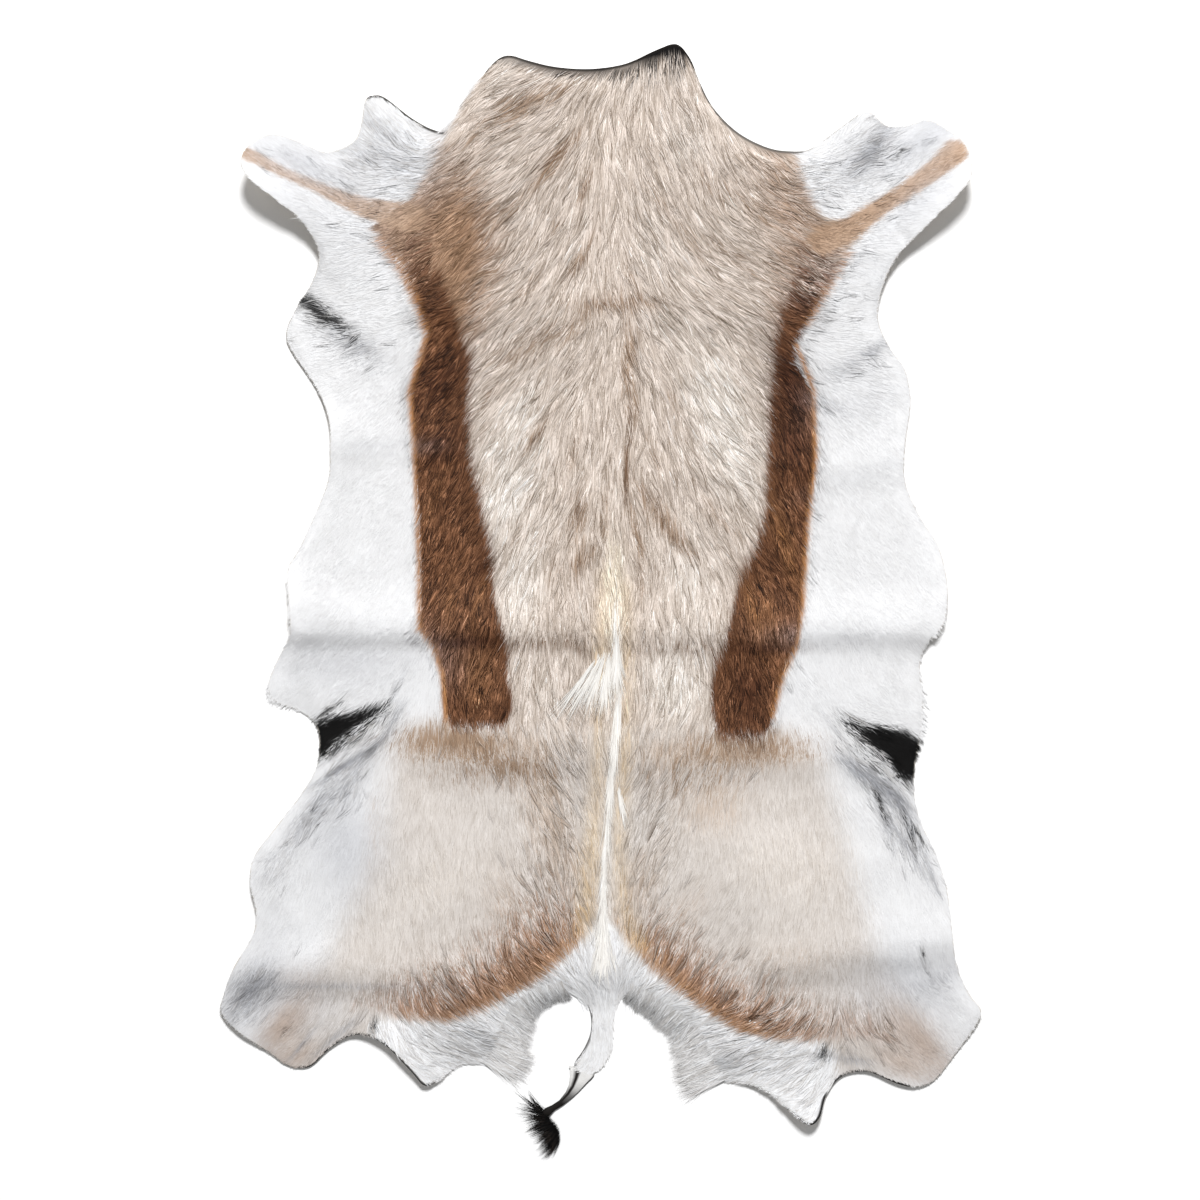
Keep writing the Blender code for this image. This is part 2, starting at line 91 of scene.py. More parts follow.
# The same for places that share no y. Columns: distance out from the spine, y, and the turn.
RUMP_COMB = (
    (285, -300, 10), (290, -360, 20),
    (45, -385, -50), (80, -412, -62), (110, -430, -70), (150, -440, -68), (190, -450, -60),
    (215, -430, -20), (175, -470, -70), (0, -400, 0), (0, -430, 0), (8, -457, 20),
)
HOCK_COMB = (
    (255, -425, 30), (295, -440, 40), (335, -435, 44), (360, -400, 45), (325, -385, 36),
    (290, -365, 25), (345, -345, 24),
)
FLANK_COMB = (
    (240, 330, 78), (230, 290, 82), (280, 290, 110), (300, 250, 66), (250, 245, 68), (300, 200, 50),
    (240, 190, 52), (225, 140, 40), (275, 130, 46), (230, 80, 30), (290, 80, 40), (235, 20, 28),
    (300, 20, 38), (215, -20, 24), (268, -20, 34), (312, -30, 42), (320, -80, 46), (268, -75, 42),
    (210, -85, 24), (260, -105, 60), (290, -128, 60), (240, -148, 45), (280, -165, 44),
    (312, -192, 38), (258, -200, 28), (330, -240, 32), (280, -260, 20), (340, -300, 26),
)
FORELEG_COMB = (
    (205, 378, 75), (240, 382, 100), (280, 400, 112), (320, 428, 120), (352, 450, 124),
    (292, 380, 85), (330, 452, 118), (280, 440, 112), (250, 452, 120), (225, 480, 140),
    (200, 465, 125), (200, 430, 95), (262, 362, 72), (285, 345, 85),
)
# The hair of the neck and of the tail's end isn't the same on both sides. Columns: x, y, and
# heading in degrees, anticlockwise from +X.
ONE_SIDED_COMB = (
    (-8, -436, 262), (-14, -449, 235), (-22, -456, 205), (-30, -461, 190), (-4, -456, 240),
    (-95, 540, 212), (-60, 535, 208), (-20, 528, 222), (10, 532, 245), (35, 538, 262),
    (65, 548, 275), (85, 540, 288), (-125, 505, 215), (-90, 500, 214), (-50, 500, 222),
    (-10, 495, 248), (30, 495, 268), (65, 500, 280), (95, 505, 295), (-140, 475, 218),
    (-100, 460, 222), (-60, 455, 228), (-20, 450, 250), (20, 450, 268), (60, 455, 282),
    (95, 465, 295), (130, 472, 305), (-150, 430, 215), (-90, 425, 225), (-45, 420, 238),
    (-10, 420, 258), (30, 420, 272), (70, 420, 290), (110, 430, 305), (150, 445, 312),
    (185, 445, 315),
)
COMB_REACH = 12.0
# How the comb wavers: how many degrees in all, over what size, and the seed of its noise.
COMB_WAVER = ((26, 34, 5), (16, 9, 6))

# Colours as they look in daylight, red, green and blue from 0 to 255.
PALETTE = {
    "belly": (229, 229, 230),
    "fawn": (208, 195, 184),
    "pale fawn": (229, 221, 213),
    "dun": (154, 128, 105),
    "dark dun": (112, 87, 68),
    "shoulder": (157, 123, 95),
    "chestnut": (110, 73, 49),
    "dark chestnut": (68, 38, 22),
    "golden": (176, 124, 76),
    "haunch": (208, 201, 195),
    "warm haunch": (196, 178, 162),
    "rust": (160, 122, 95),
    "orange rust": (190, 148, 108),
    "tawny": (218, 192, 152),
    "cream": (240, 229, 210),
    "spine white": (240, 237, 232),
    "rump": (236, 236, 237),
    # Grey of the rump's hair, also laid on as painted shade along the arch over the tail.
    "rump grey and painted shade": (150, 151, 153),
    "grey": (150, 151, 156),
    # Painted shade on the white coat.
    "pale painted shade": (196, 197, 201),
    "black": (12, 11, 11),
    "leg tan": (184, 151, 122),
    "hock tan": (182, 165, 153),
    "rump white": (240, 240, 241),
    # Dark grey of the short loose hair by the arch: partly its own colour, partly painted shade.
    "arch grey and painted shade": (94, 95, 97),
    "tuft brown": (58, 50, 45),
    "bare skin": (205, 200, 192),
    "dried skin": (226, 225, 223),
    "cut dark": (24, 21, 19),
}

# The fawn of the neck and the saddle. Columns: y, and x of its left and right sides.
SADDLE = (
    (575, -100, 95), (540, -112, 98), (500, -140, 112), (475, -152, 140), (450, -163, 197),
    (425, -178, 203), (405, -190, 207), (390, -215, 222), (378, -228, 255), (368, -215, 258),
    (350, -200, 244), (325, -191, 230), (305, -184, 221), (285, -178, 210), (270, -172, 199),
    (255, -176, 191), (240, -185, 195), (215, -190, 210), (190, -186, 214), (150, -184, 214),
    (100, -181, 208), (50, -179, 205), (0, -178, 200), (-22, -180, 198), (-40, -166, 196),
    (-70, -157, 181), (-105, -155, 173), (-125, -160, 168),
)
HAUNCH = (
    (-118, -195, 182), (-160, -208, 224), (-200, -216, 236), (-250, -230, 248), (-300, -248, 262),
    (-350, -270, 278), (-400, -310, 310), (-470, -330, 330),
)
# The brown of the shoulders, which fades into the saddle.
LEFT_SHOULDER = (
    (440, -170, -126), (405, -192, -112), (378, -230, -106), (340, -196, -108),
    (300, -182, -118), (262, -174, -128),
)
RIGHT_SHOULDER = (
    (455, 150, 198), (420, 158, 205), (385, 160, 224), (372, 168, 258), (340, 172, 238),
    (300, 172, 218), (262, 172, 194),
)
# The dark stripes along the flanks.
LEFT_STRIPE = (
    (350, -198, -166), (310, -186, -150), (270, -173, -138), (250, -178, -128), (215, -191, -132),
    (150, -185, -130), (100, -182, -118), (50, -180, -108), (0, -179, -104), (-22, -181, -98),
    (-40, -167, -92), (-70, -158, -92), (-100, -156, -86), (-122, -149, -96),
)
RIGHT_STRIPE = (
    (340, 196, 238), (300, 180, 219), (262, 172, 195), (240, 170, 196), (215, 168, 211),
    (150, 166, 215), (90, 164, 208), (50, 150, 206), (30, 138, 203), (0, 132, 201),
    (-40, 122, 197), (-60, 113, 184), (-80, 110, 179), (-112, 112, 173), (-132, 120, 162),
)
# Tan bands along the front of the forelegs. Columns: x, y and half width.
LEFT_LEG_BAND = (
    (-190, 388, 15), (-235, 398, 10), (-275, 415, 6), (-315, 432, 5.5), (-352, 450, 6.5),
)
RIGHT_LEG_BAND = (
    (222, 366, 15), (250, 377, 12), (277, 397, 9), (301, 412, 8), (332, 434, 10), (352, 452, 13),
)
# The rust-brown hem of the haunches over the white rump. Columns: x, y of its lower border, how
# far up it fades, and strength.
RUST_HEM = (
    (-250, -404, 20, 0.2), (-225, -403, 28, 0.4), (-190, -413, 44, 0.75), (-155, -416, 52, 0.9),
    (-120, -404, 58, 0.95), (-90, -389, 70, 1.0), (-60, -373, 76, 1.0), (-40, -356, 60, 0.85),
    (-22, -338, 50, 0.5), (-6, -318, 40, 0.1), (8, -316, 30, 0.1), (30, -340, 38, 0.5),
    (50, -362, 46, 0.8), (80, -386, 58, 0.95), (110, -408, 50, 1.0), (140, -426, 46, 1.0),
    (180, -434, 52, 0.75), (220, -434, 40, 0.5), (260, -430, 34, 0.45), (300, -440, 30, 0.3),
)
ORANGE_HEM = (
    ((-205, -410, 2), (-155, -414, 4), (-120, -402, 5), (-90, -387, 5), (-60, -369, 6), (-40, -352, 8),
     (-22, -330, 8)),
    ((32, -335, 8), (50, -357, 9), (80, -380, 8), (110, -404, 6), (140, -422, 5), (180, -430, 3)),
)
# The white rump below the hem, which reaches from hock to hock. Columns: x, and y of its sides.
RUMP = (
    (-228, -600, -409), (-190, -600, -413), (-155, -600, -416), (-120, -600, -404),
    (-90, -600, -389), (-60, -600, -373), (-40, -600, -356), (-22, -600, -338), (-6, -600, -316),
    (8, -600, -314), (30, -600, -340), (50, -600, -362), (80, -600, -386), (110, -600, -408),
    (140, -600, -426), (180, -600, -434), (222, -600, -436), (236, -600, -444),
)
# The white line down the spine, and the tawny hair beside it. Columns: x, y and half width.
SPINE_LINE = (
    (16, 0, 1), (17, -50, 5), (16, -90, 3), (13, -150, 3), (9, -210, 3),
    (5, -280, 4), (2, -350, 9),
)
TAWNY_LEFT = ((6, 30, 5), (2, -20, 6), (-2, -120, 3), (-4, -190, 6), (-10, -260, 9), (-16, -320, 8))
TAWNY_RIGHT = ((24, 20, 5), (26, -110, 4), (22, -160, 7), (18, -220, 6), (22, -300, 6), (36, -335, 9))

# The golden rims of the dark stripes, the black of the neck's edge, and the black patches in front
# of the haunches. Columns: x, y and half width.
STRIPE_RIMS = (
    ((-175, 268, 2.5), (-191, 215, 2.5), (-186, 150, 2), (-182, 50, 2), (-181, -22, 2), (-168, -40, 2),
     (-158, -70, 2.5), (-155, -112, 2.5)),
    ((196, 262, 1.5), (213, 215, 2), (215, 150, 2), (208, 90, 2), (205, 50, 2), (202, 0, 2),
     (196, -40, 2), (182, -70, 2), (172, -110, 2)),
    ((-223, 366, 3), (-199, 336, 3), (-185, 305, 3), (-174, 272, 2.5)),
    ((248, 352, 2), (230, 320, 2), (206, 282, 2)),
)
NECK_BLACK = ((-88, 551, 1), (-45, 541, 2), (0, 538, 3), (30, 547, 5), (55, 555, 8), (86, 556, 7))
BLACK_LEFT = ((-284, -133, 17), (-265, -121, 13), (-246, -113, 9), (-230, -106, 6), (-212, -97, 1))
BLACK_RIGHT = ((240, -113, 1), (262, -125, 6), (280, -132, 13), (298, -140, 18), (312, -154, 22))

# Soft spots of colour. Columns: x, y, half length, half width, heading of the length in degrees,
# and strength.
SPINE_GLOW = ((14, 30, 40, 11, 270, 0.75), (14, -12, 26, 9, 270, 0.6), (10, -70, 36, 9, 270, 0.4))
NECK_DARK = (
    (-60, 539, 50, 5, 350, 0.75), (0, 533, 50, 6, 2, 0.8), (45, 541, 34, 8, 20, 0.8),
    (76, 544, 14, 12, 280, 0.8), (60, 530, 30, 8, 25, 0.4),
)
# Dun mottles of the saddle. The thin ones near y = -40 are painted shade of a crease, and the broad bands
# along y = -135 to -170 are partly painted shade above the loin crease.
DUN_AND_PAINTED_CREASE_SPOTS = (
    (-55, 506, 45, 8, 212, 0.5), (-92, 495, 50, 12, 215, 0.6), (-38, 456, 30, 7, 225, 0.75),
    (-55, 432, 26, 7, 222, 0.7), (-16, 418, 20, 4, 250, 0.85), (-22, 345, 26, 6, 235, 0.6),
    (5, 301, 40, 5, 180, 0.9), (45, 305, 26, 5, 170, 0.6), (28, 255, 46, 7, 265, 0.7),
    (-75, 262, 50, 14, 210, 0.4), (-20, 285, 40, 8, 225, 0.45), (-66, 168, 26, 5, 235, 0.75),
    (26, 134, 34, 3, 268, 0.95), (-22, 90, 30, 9, 260, 0.65), (-18, 45, 18, 8, 240, 0.9),
    (4, 85, 30, 5, 265, 0.6), (-45, 40, 24, 12, 250, 0.35), (58, 92, 40, 12, 305, 0.6),
    (78, 66, 36, 7, 315, 0.6), (36, 75, 30, 6, 285, 0.55), (-30, 150, 26, 6, 255, 0.4),
    (116, 92, 30, 6, 315, 0.45), (34, 200, 40, 7, 270, 0.45), (110, 420, 26, 6, 310, 0.35),
    (60, 400, 26, 7, 290, 0.3), (130, 350, 36, 8, 322, 0.45), (150, 400, 36, 12, 315, 0.5),
    (95, 360, 32, 7, 310, 0.4), (-115, 130, 20, 6, 235, 0.35), (40, 25, 22, 4, 270, 0.45),
    (-90, 395, 26, 7, 222, 0.35), (-70, 320, 26, 7, 225, 0.4), (75, 200, 26, 6, 300, 0.35),
    (-150, -134, 60, 18, 180, 0.9), (145, -140, 66, 18, 180, 0.75), (-80, -160, 50, 10, 170, 0.6),
    (-60, -36, 46, 3, 180, 0.9), (-22, -42, 18, 3, 320, 0.9), (80, -40, 60, 3, 182, 0.9),
    (90, -170, 70, 26, 180, 0.3), (-110, -165, 66, 18, 180, 0.4),
    (30, 330, 20, 6, 285, 0.3), (-110, 210, 20, 6, 235, 0.4), (-120, 330, 40, 8, 215, 0.4),
    (-45, 380, 20, 5, 235, 0.4), (55, 150, 26, 5, 290, 0.35), (-85, 70, 22, 5, 248, 0.35),
    (-152, 428, 30, 26, 230, 0.2), (-50, -326, 46, 15, 40, 0.7), (58, -345, 40, 11, 322, 0.5),
    (-40, -215, 60, 12, 292, 0.2), (-52, -280, 46, 10, 285, 0.2), (44, -250, 50, 9, 250, 0.1),
)
# Dark marks of the saddle; the thin lines near y = -40 are painted shade of a crease.
DARK_AND_PAINTED_CREASE_SPOTS = (
    (26, 134, 32, 2.5, 268, 0.95), (30, 190, 26, 2, 272, 0.6), (5, 301, 36, 3, 180, 0.7),
    (45, 308, 20, 3, 170, 0.5), (-38, 456, 18, 4, 225, 0.5), (-16, 418, 14, 3, 250, 0.7),
    (-66, 168, 16, 3, 235, 0.6), (58, 92, 24, 5, 305, 0.4), (80, 62, 24, 4, 315, 0.4),
    (-18, 45, 12, 5, 240, 0.5), (-22, -41, 16, 2.5, 320, 0.7), (-60, -36, 44, 2.5, 180, 0.7),
    (80, -40, 60, 2.5, 182, 0.7), (-55, 440, 20, 4, 222, 0.4), (-20, 340, 16, 3, 235, 0.4),
    (-88, 495, 30, 5, 215, 0.3), (36, 262, 24, 3, 265, 0.5), (-24, 92, 18, 4, 260, 0.4),
)
LIGHT_STRIPE_SPOTS = (
    (-122, -70, 34, 14, 265, 0.25), (182, 70, 50, 9, 285, 0.35),
    (150, 0, 34, 8, 285, 0.35), (-165, 110, 40, 6, 250, 0.15), (-120, 10, 30, 6, 255, 0.2),
    (170, -10, 30, 8, 282, 0.2), (-150, 0, 30, 8, 262, 0.15),
)
PALE_SPOTS = (
    (-100, 150, 60, 22, 250, 0.6), (120, 190, 70, 28, 290, 0.85), (-80, 20, 50, 24, 262, 0.85),
    (90, 30, 50, 26, 275, 0.6), (130, 150, 50, 20, 300, 0.6),
    (50, 360, 50, 20, 285, 0.25), (-90, 540, 26, 14, 212, 0.3),
    (-75, 205, 44, 12, 240, 0.45), (-92, 110, 50, 26, 250, 0.85),
    (-176, -285, 70, 34, 200, 0.45), (185, -262, 60, 44, 160, 0.55), (85, 465, 34, 24, 290, 0.45),
    (75, -80, 50, 34, 270, 0.95), (-55, -90, 40, 26, 270, 0.35), (118, 215, 40, 24, 290, 0.5),
)
# Darker patches of the stripes; the thin ones near y = -40 are painted shade of a crease.
DARK_STRIPE_AND_PAINTED_CREASE_SPOTS = (
    (-162, 225, 44, 24, 240, 0.75), (-158, 165, 34, 22, 245, 0.7), (-118, 40, 30, 8, 250, 0.6),
    (-130, -36, 46, 7, 180, 0.9), (-120, -104, 40, 9, 180, 0.35), (190, 225, 46, 20, 285, 0.9),
    (192, 160, 50, 20, 285, 0.8), (180, 110, 40, 14, 288, 0.2), (156, -42, 44, 4, 180, 0.9),
    (146, -90, 46, 24, 275, 0.75), (205, 300, 24, 12, 325, 0.5), (-168, 300, 26, 10, 215, 0.4),
    (178, 20, 40, 12, 284, 0.35), (-150, 110, 40, 16, 248, 0.3),
)
# Warmer hair of the haunches; the bands along y = -138 to -148 are partly painted shade above the loin
# crease.
WARM_HAUNCH_AND_PAINTED_CREASE_SPOTS = (
    (-130, -138, 62, 14, 180, 0.95), (-60, -170, 60, 22, 285, 0.55), (130, -148, 74, 13, 180, 0.95),
    (112, -200, 30, 34, 270, 0.6), (60, -150, 40, 24, 250, 0.45), (-44, -240, 64, 24, 290, 0.55),
    (40, -280, 50, 20, 245, 0.45), (-228, -230, 44, 10, 268, 0.3), (-96, -290, 40, 24, 280, 0.35),
    (200, -352, 60, 20, 180, 0.25), (-30, -120, 40, 16, 290, 0.4), (90, -300, 30, 20, 240, 0.3),
)
BLACK_SPOTS = (
    (-250, -134, 40, 8, 32, 0.4), (282, -160, 44, 8, 322, 0.4), (-272, -104, 22, 4, 35, 0.6),
    (-266, -140, 30, 6, 35, 0.6), (-240, -122, 26, 4, 35, 0.5),
    (262, -117, 26, 4, 335, 0.6), (290, -155, 30, 5, 315, 0.5), (262, -135, 26, 5, 322, 0.5),
    (280, -200, 18, 2.5, 290, 0.8), (308, -222, 22, 2.5, 290, 0.7), (318, -228, 14, 2, 300, 0.9),
    (-287, 299, 24, 9, 318, 0.95), (-263, 282, 26, 8, 322, 0.65), (-298, 305, 9, 5, 318, 0.7),
    (-226, -418, 4, 9, 0, 0.8),
    (224, -446, 5, 9, 0, 0.9), (-315, -424, 3, 4, 0, 0.8), (296, 450, 10, 2, 48, 0.6),
    (322, -346, 2, 6, 0, 0.8), (-287, -203, 6, 1.5, 60, 0.6), (-283, -218, 6, 1.5, 60, 0.6),
)
# Grey hair, and thin grey lines painted as the shade of the hide's creases, such as those from (-260,
# -162) to (-206, -112) and along y = -379.
GREY_AND_PAINTED_CREASE_SPOTS = (
    (-260, -162, 36, 4, 34, 0.8), (-225, -140, 26, 5, 40, 0.6), (-206, -112, 20, 4, 60, 0.6),
    (-245, -170, 40, 12, 240, 0.4), (-280, -196, 40, 12, 232, 0.4), (-205, -85, 30, 3, 245, 0.3),
    (-296, -218, 30, 10, 234, 0.35), (-330, -262, 24, 20, 234, 0.3), (-245, 262, 34, 12, 330, 0.55),
    (-232, 452, 40, 14, 165, 0.35), (-222, 478, 22, 9, 150, 0.4), (268, 452, 34, 12, 50, 0.6),
    (280, 470, 26, 8, 52, 0.45), (276, 258, 22, 7, 28, 0.5), (245, 236, 26, 9, 20, 0.4),
    (268, -172, 34, 9, 322, 0.8), (296, -192, 26, 8, 315, 0.8), (284, -212, 30, 7, 290, 0.6),
    (308, -222, 36, 8, 295, 0.65), (250, -158, 26, 6, 330, 0.5), (240, -130, 30, 3, 310, 0.35),
    (-350, -385, 34, 20, 240, 0.75), (-270, -379, 90, 3.5, 0, 0.5), (-365, -400, 18, 12, 240, 0.3),
    (245, -452, 34, 5, 350, 0.6),
    (-262, -428, 34, 4, 40, 0.5), (340, -372, 26, 8, 20, 0.35), (225, 202, 20, 9, 340, 0.35),
    (-300, -440, 26, 3, 50, 0.5), (330, -265, 26, 3, 290, 0.5), (306, -240, 40, 4, 300, 0.5),
)
# Painted shade: pale grey laid over the white coat where it lies in shade, at its edges and on the legs.
PAINTED_SHADE_SPOTS = (
    (-255, -55, 70, 30, 180, 0.5), (-330, -350, 40, 60, 180, 0.3), (-300, -400, 60, 34, 180, 0.45),
    (300, -380, 60, 40, 180, 0.65), (262, 205, 40, 24, 200, 0.25), (-215, 440, 40, 40, 180, 0.3),
    (250, 440, 50, 30, 40, 0.3),
    (-180, 440, 30, 30, 180, 0.2), (-300, 440, 60, 18, 155, 0.7), (250, -30, 60, 12, 180, 0.3),
    (320, 460, 50, 18, 35, 0.65), (335, 478, 40, 14, 20, 0.5), (320, 405, 50, 18, 40, 0.45),
    (-320, 408, 60, 16, 150, 0.35), (-250, 370, 60, 40, 180, 0.15), (260, 340, 60, 40, 180, 0.15),
    (-230, 160, 50, 8, 180, 0.2), (270, 135, 50, 8, 200, 0.2), (-252, -240, 40, 50, 180, 0.75),
)
HOCK_TAN_SPOTS = (
    (-318, -420, 36, 18, 232, 0.95), (-304, -448, 24, 14, 200, 0.7), (-300, -372, 30, 16, 180, 0.3),
    (322, -436, 50, 18, 310, 0.9), (300, -455, 34, 16, 330, 0.7), (262, -420, 50, 14, 180, 0.4),
)
# Grey hair of the rump, with painted shade along the arch over the tail, at the tail's root and down the
# rump's middle.
RUMP_GREY_AND_PAINTED_SHADE_SPOTS = (
    (-105, -440, 46, 16, 335, 0.7), (-85, -456, 26, 8, 330, 0.6), (-38, -384, 30, 8, 340, 0.8),
    (46, -392, 34, 8, 325, 0.9), (82, -416, 20, 7, 320, 0.7), (118, -458, 46, 14, 200, 0.6),
    (100, -470, 26, 8, 200, 0.6), (-60, -390, 24, 8, 0, 0.5), (-150, -440, 50, 10, 330, 0.3),
    (180, -462, 34, 9, 190, 0.3), (-14, -420, 30, 3, 270, 0.4), (4, -384, 30, 18, 0, 0.5),
    (5, -362, 26, 16, 0, 0.35), (0, -432, 16, 26, 0, 0.25),
)


def palette(name):
    """A palette colour as linear light."""
    shown = np.array(PALETTE[name]) / 255
    return np.where(shown <= 0.04045, shown / 12.92, ((shown + 0.055) / 1.055) ** 2.4)


def ramp(t):
    """0 to 1 along a smooth S, for t from 0 to 1."""
    t = np.clip(t, 0, 1)
    return t * t * (3 - 2 * t)


def between(value, low, high, soft_low, soft_high):
    """1 from low to high, with soft steps of these widths centred on both ends."""
    return ramp((value - low) / soft_low + 0.5) * ramp((high - value) / soft_high + 0.5)


def strip(x, y, rows, soft_low, soft_high, soft_start, soft_end):
    """1 inside a strip along y. Its sides' x are read between rows of y, low x and high x."""
    station, low, high = np.array(sorted(rows), float).T
    sides = between(x, np.interp(y, station, low), np.interp(y, station, high), soft_low, soft_high)
    return sides * between(y, station[0], station[-1], soft_start, soft_end)


def shelf(x, y, rows, soft_low, soft_high, soft_start, soft_end):
    """The same along x, from rows of x, low y and high y."""
    return strip(y, x, rows, soft_low, soft_high, soft_start, soft_end)


def trail(x, y, rows, soft):
    """1 within half a width of a line through rows of x, y and half width."""
    deepest = np.full(np.shape(x), -NEVER)
    for (x0, y0, half0), (x1, y1, half1) in zip(rows, rows[1:]):
        dx, dy = x1 - x0, y1 - y0
        t = np.clip(((x - x0) * dx + (y - y0) * dy) / (dx * dx + dy * dy), 0, 1)
        away = np.hypot(x - x0 - t * dx, y - y0 - t * dy)
        deepest = np.maximum(deepest, half0 + (half1 - half0) * t - away)
    return ramp(deepest / soft + 0.5)


def bells(x, y, rows):
    """For each soft oval in turn, its amount times a bell of distance in the oval's own axes."""
    for x0, y0, half_length, half_width, heading, amount in rows:
        c, s = math.cos(math.radians(heading)), math.sin(math.radians(heading))
        u = ((x - x0) * c + (y - y0) * s) / half_length
        v = ((y - y0) * c - (x - x0) * s) / half_width
        yield amount * np.exp(-u * u - v * v)


def spots(x, y, rows):
    """Soft ovals laid over one another."""
    left_bare = np.ones(np.shape(x))
    for bell in bells(x, y, rows):
        left_bare *= 1 - bell
    return 1 - left_bare


def trails(x, y, lines, soft):
    """The most of several trails."""
    return np.max([trail(x, y, rows, soft) for rows in lines], 0)


def hem(x, y, rows, soft):
    """A fade upwards from a border: strength times a bell of the height over the border."""
    station, border, depth, strength = np.array(rows, float).T
    above = y - np.interp(x, station, border)
    fade = np.exp(-((above / np.interp(x, station, depth)) ** 2))
    return np.interp(x, station, strength, 0, 0) * fade * ramp(above / soft + 0.5)


# The coat's colours in the order that they cover one another: how the region is worked out, its
# rows, its soft widths in millimetres, its colour, its strength, and how far each hair is either
# one colour or the other, where 0 mixes the two.
COAT = (
    (strip, HAUNCH, (46, 46, 30, 24), "haunch", 1.0, 0.2),
    (spots, WARM_HAUNCH_AND_PAINTED_CREASE_SPOTS, (), "warm haunch", 1.0, 0.5),
    (strip, SADDLE, (3, 3, 30, 12), "fawn", 1.0, 0.8),
    (spots, PALE_SPOTS, (), "pale fawn", 1.0, 0.5),
    (strip, LEFT_SHOULDER, (3, 64, 40, 120), "shoulder", 0.95, 0.4),
    (strip, RIGHT_SHOULDER, (60, 3, 50, 110), "shoulder", 0.6, 0.4),
    (spots, DUN_AND_PAINTED_CREASE_SPOTS, (), "dun", 1.0, 0.7),
    (spots, DARK_AND_PAINTED_CREASE_SPOTS, (), "dark dun", 1.0, 0.7),
    (strip, LEFT_STRIPE, (2, 8, 18, 130), "chestnut", 1.0, 0.8),
    (strip, RIGHT_STRIPE, (9, 2, 18, 120), "chestnut", 1.0, 0.8),
    (spots, LIGHT_STRIPE_SPOTS, (), "golden", 0.8, 0.3),
    (spots, DARK_STRIPE_AND_PAINTED_CREASE_SPOTS, (), "dark chestnut", 1.0, 0.5),
    (trails, STRIPE_RIMS, (4,), "golden", 0.9, 0.3),
    (trail, LEFT_LEG_BAND, (6,), "leg tan", 0.9, 0.5),
    (trail, RIGHT_LEG_BAND, (6,), "leg tan", 0.95, 0.6),
    (hem, RUST_HEM, (4,), "rust", 1.0, 0.6),
    (trails, ORANGE_HEM, (16,), "orange rust", 0.5, 0.4),
    (shelf, RUMP, (10, 6, 20, 20), "rump", 1.0, 0.9),
    (spots, RUMP_GREY_AND_PAINTED_SHADE_SPOTS, (), "rump grey and painted shade", 0.6, 0.3),
    (trail, TAWNY_LEFT, (26,), "tawny", 0.55, 0.3),
    (trail, TAWNY_RIGHT, (26,), "tawny", 0.5, 0.3),
    (spots, SPINE_GLOW, (), "cream", 1.0, 0.5),
    (trail, SPINE_LINE, (9,), "spine white", 0.5, 0.6),
    (spots, PAINTED_SHADE_SPOTS, (), "pale painted shade", 1.0, 0.0),
    (spots, HOCK_TAN_SPOTS, (), "hock tan", 1.0, 0.2),
    (spots, GREY_AND_PAINTED_CREASE_SPOTS, (), "grey", 1.0, 0.35),
    (spots, BLACK_SPOTS, (), "black", 1.0, 0.7),
    (trail, BLACK_LEFT, (13,), "black", 1.0, 0.85),
    (trail, BLACK_RIGHT, (13,), "black", 1.0, 0.85),
    (spots, NECK_DARK, (), "black", 0.85, 0.9),
    (trail, NECK_BLACK, (7,), "black", 1.0, 0.8),
)

# The kinds of hair, layered in the same way as the colours. Of each kind: its length in
# millimetres, how far it gathers into wisps, how much single hairs differ in tone, how far they
# roll about their own length in degrees, how dark their roots are as a share of their colour, how
# many long wisps lie on it, from 0 to 1, how many times longer those are, and how many of the
# places for a root have a short hair, from 0 to 1.
TRAITS = ("length", "gather", "ticking", "roll", "root", "wisps", "reach", "density")
BELLY_HAIR = (16, 0.04, 0.02, 3, 0.98, 0.0, 1.2, 0.34)
SHOULDER_HAIR = (17, 0.45, 0.42, 15, 0.8, 0.95, 1.6, 1.0)
STRIPE_HAIR = (15, 0.35, 0.95, 18, 0.7, 0.9, 1.4, 1.0)
LEG_HAIR = (10, 0.2, 0.12, 6, 0.92, 0.2, 1.2, 0.8)
LONG_HAUNCH_SPOTS = (
    (-40, -230, 90, 36, 285, 0.9), (48, -240, 90, 30, 255, 0.7), (0, -150, 90, 30, 0, 0.8),
)
NECK_SPOTS = ((0, 450, 170, 130, 0, 1.0),)
TAIL_LINE = ((2, -370, 20), (2, -460, 16))
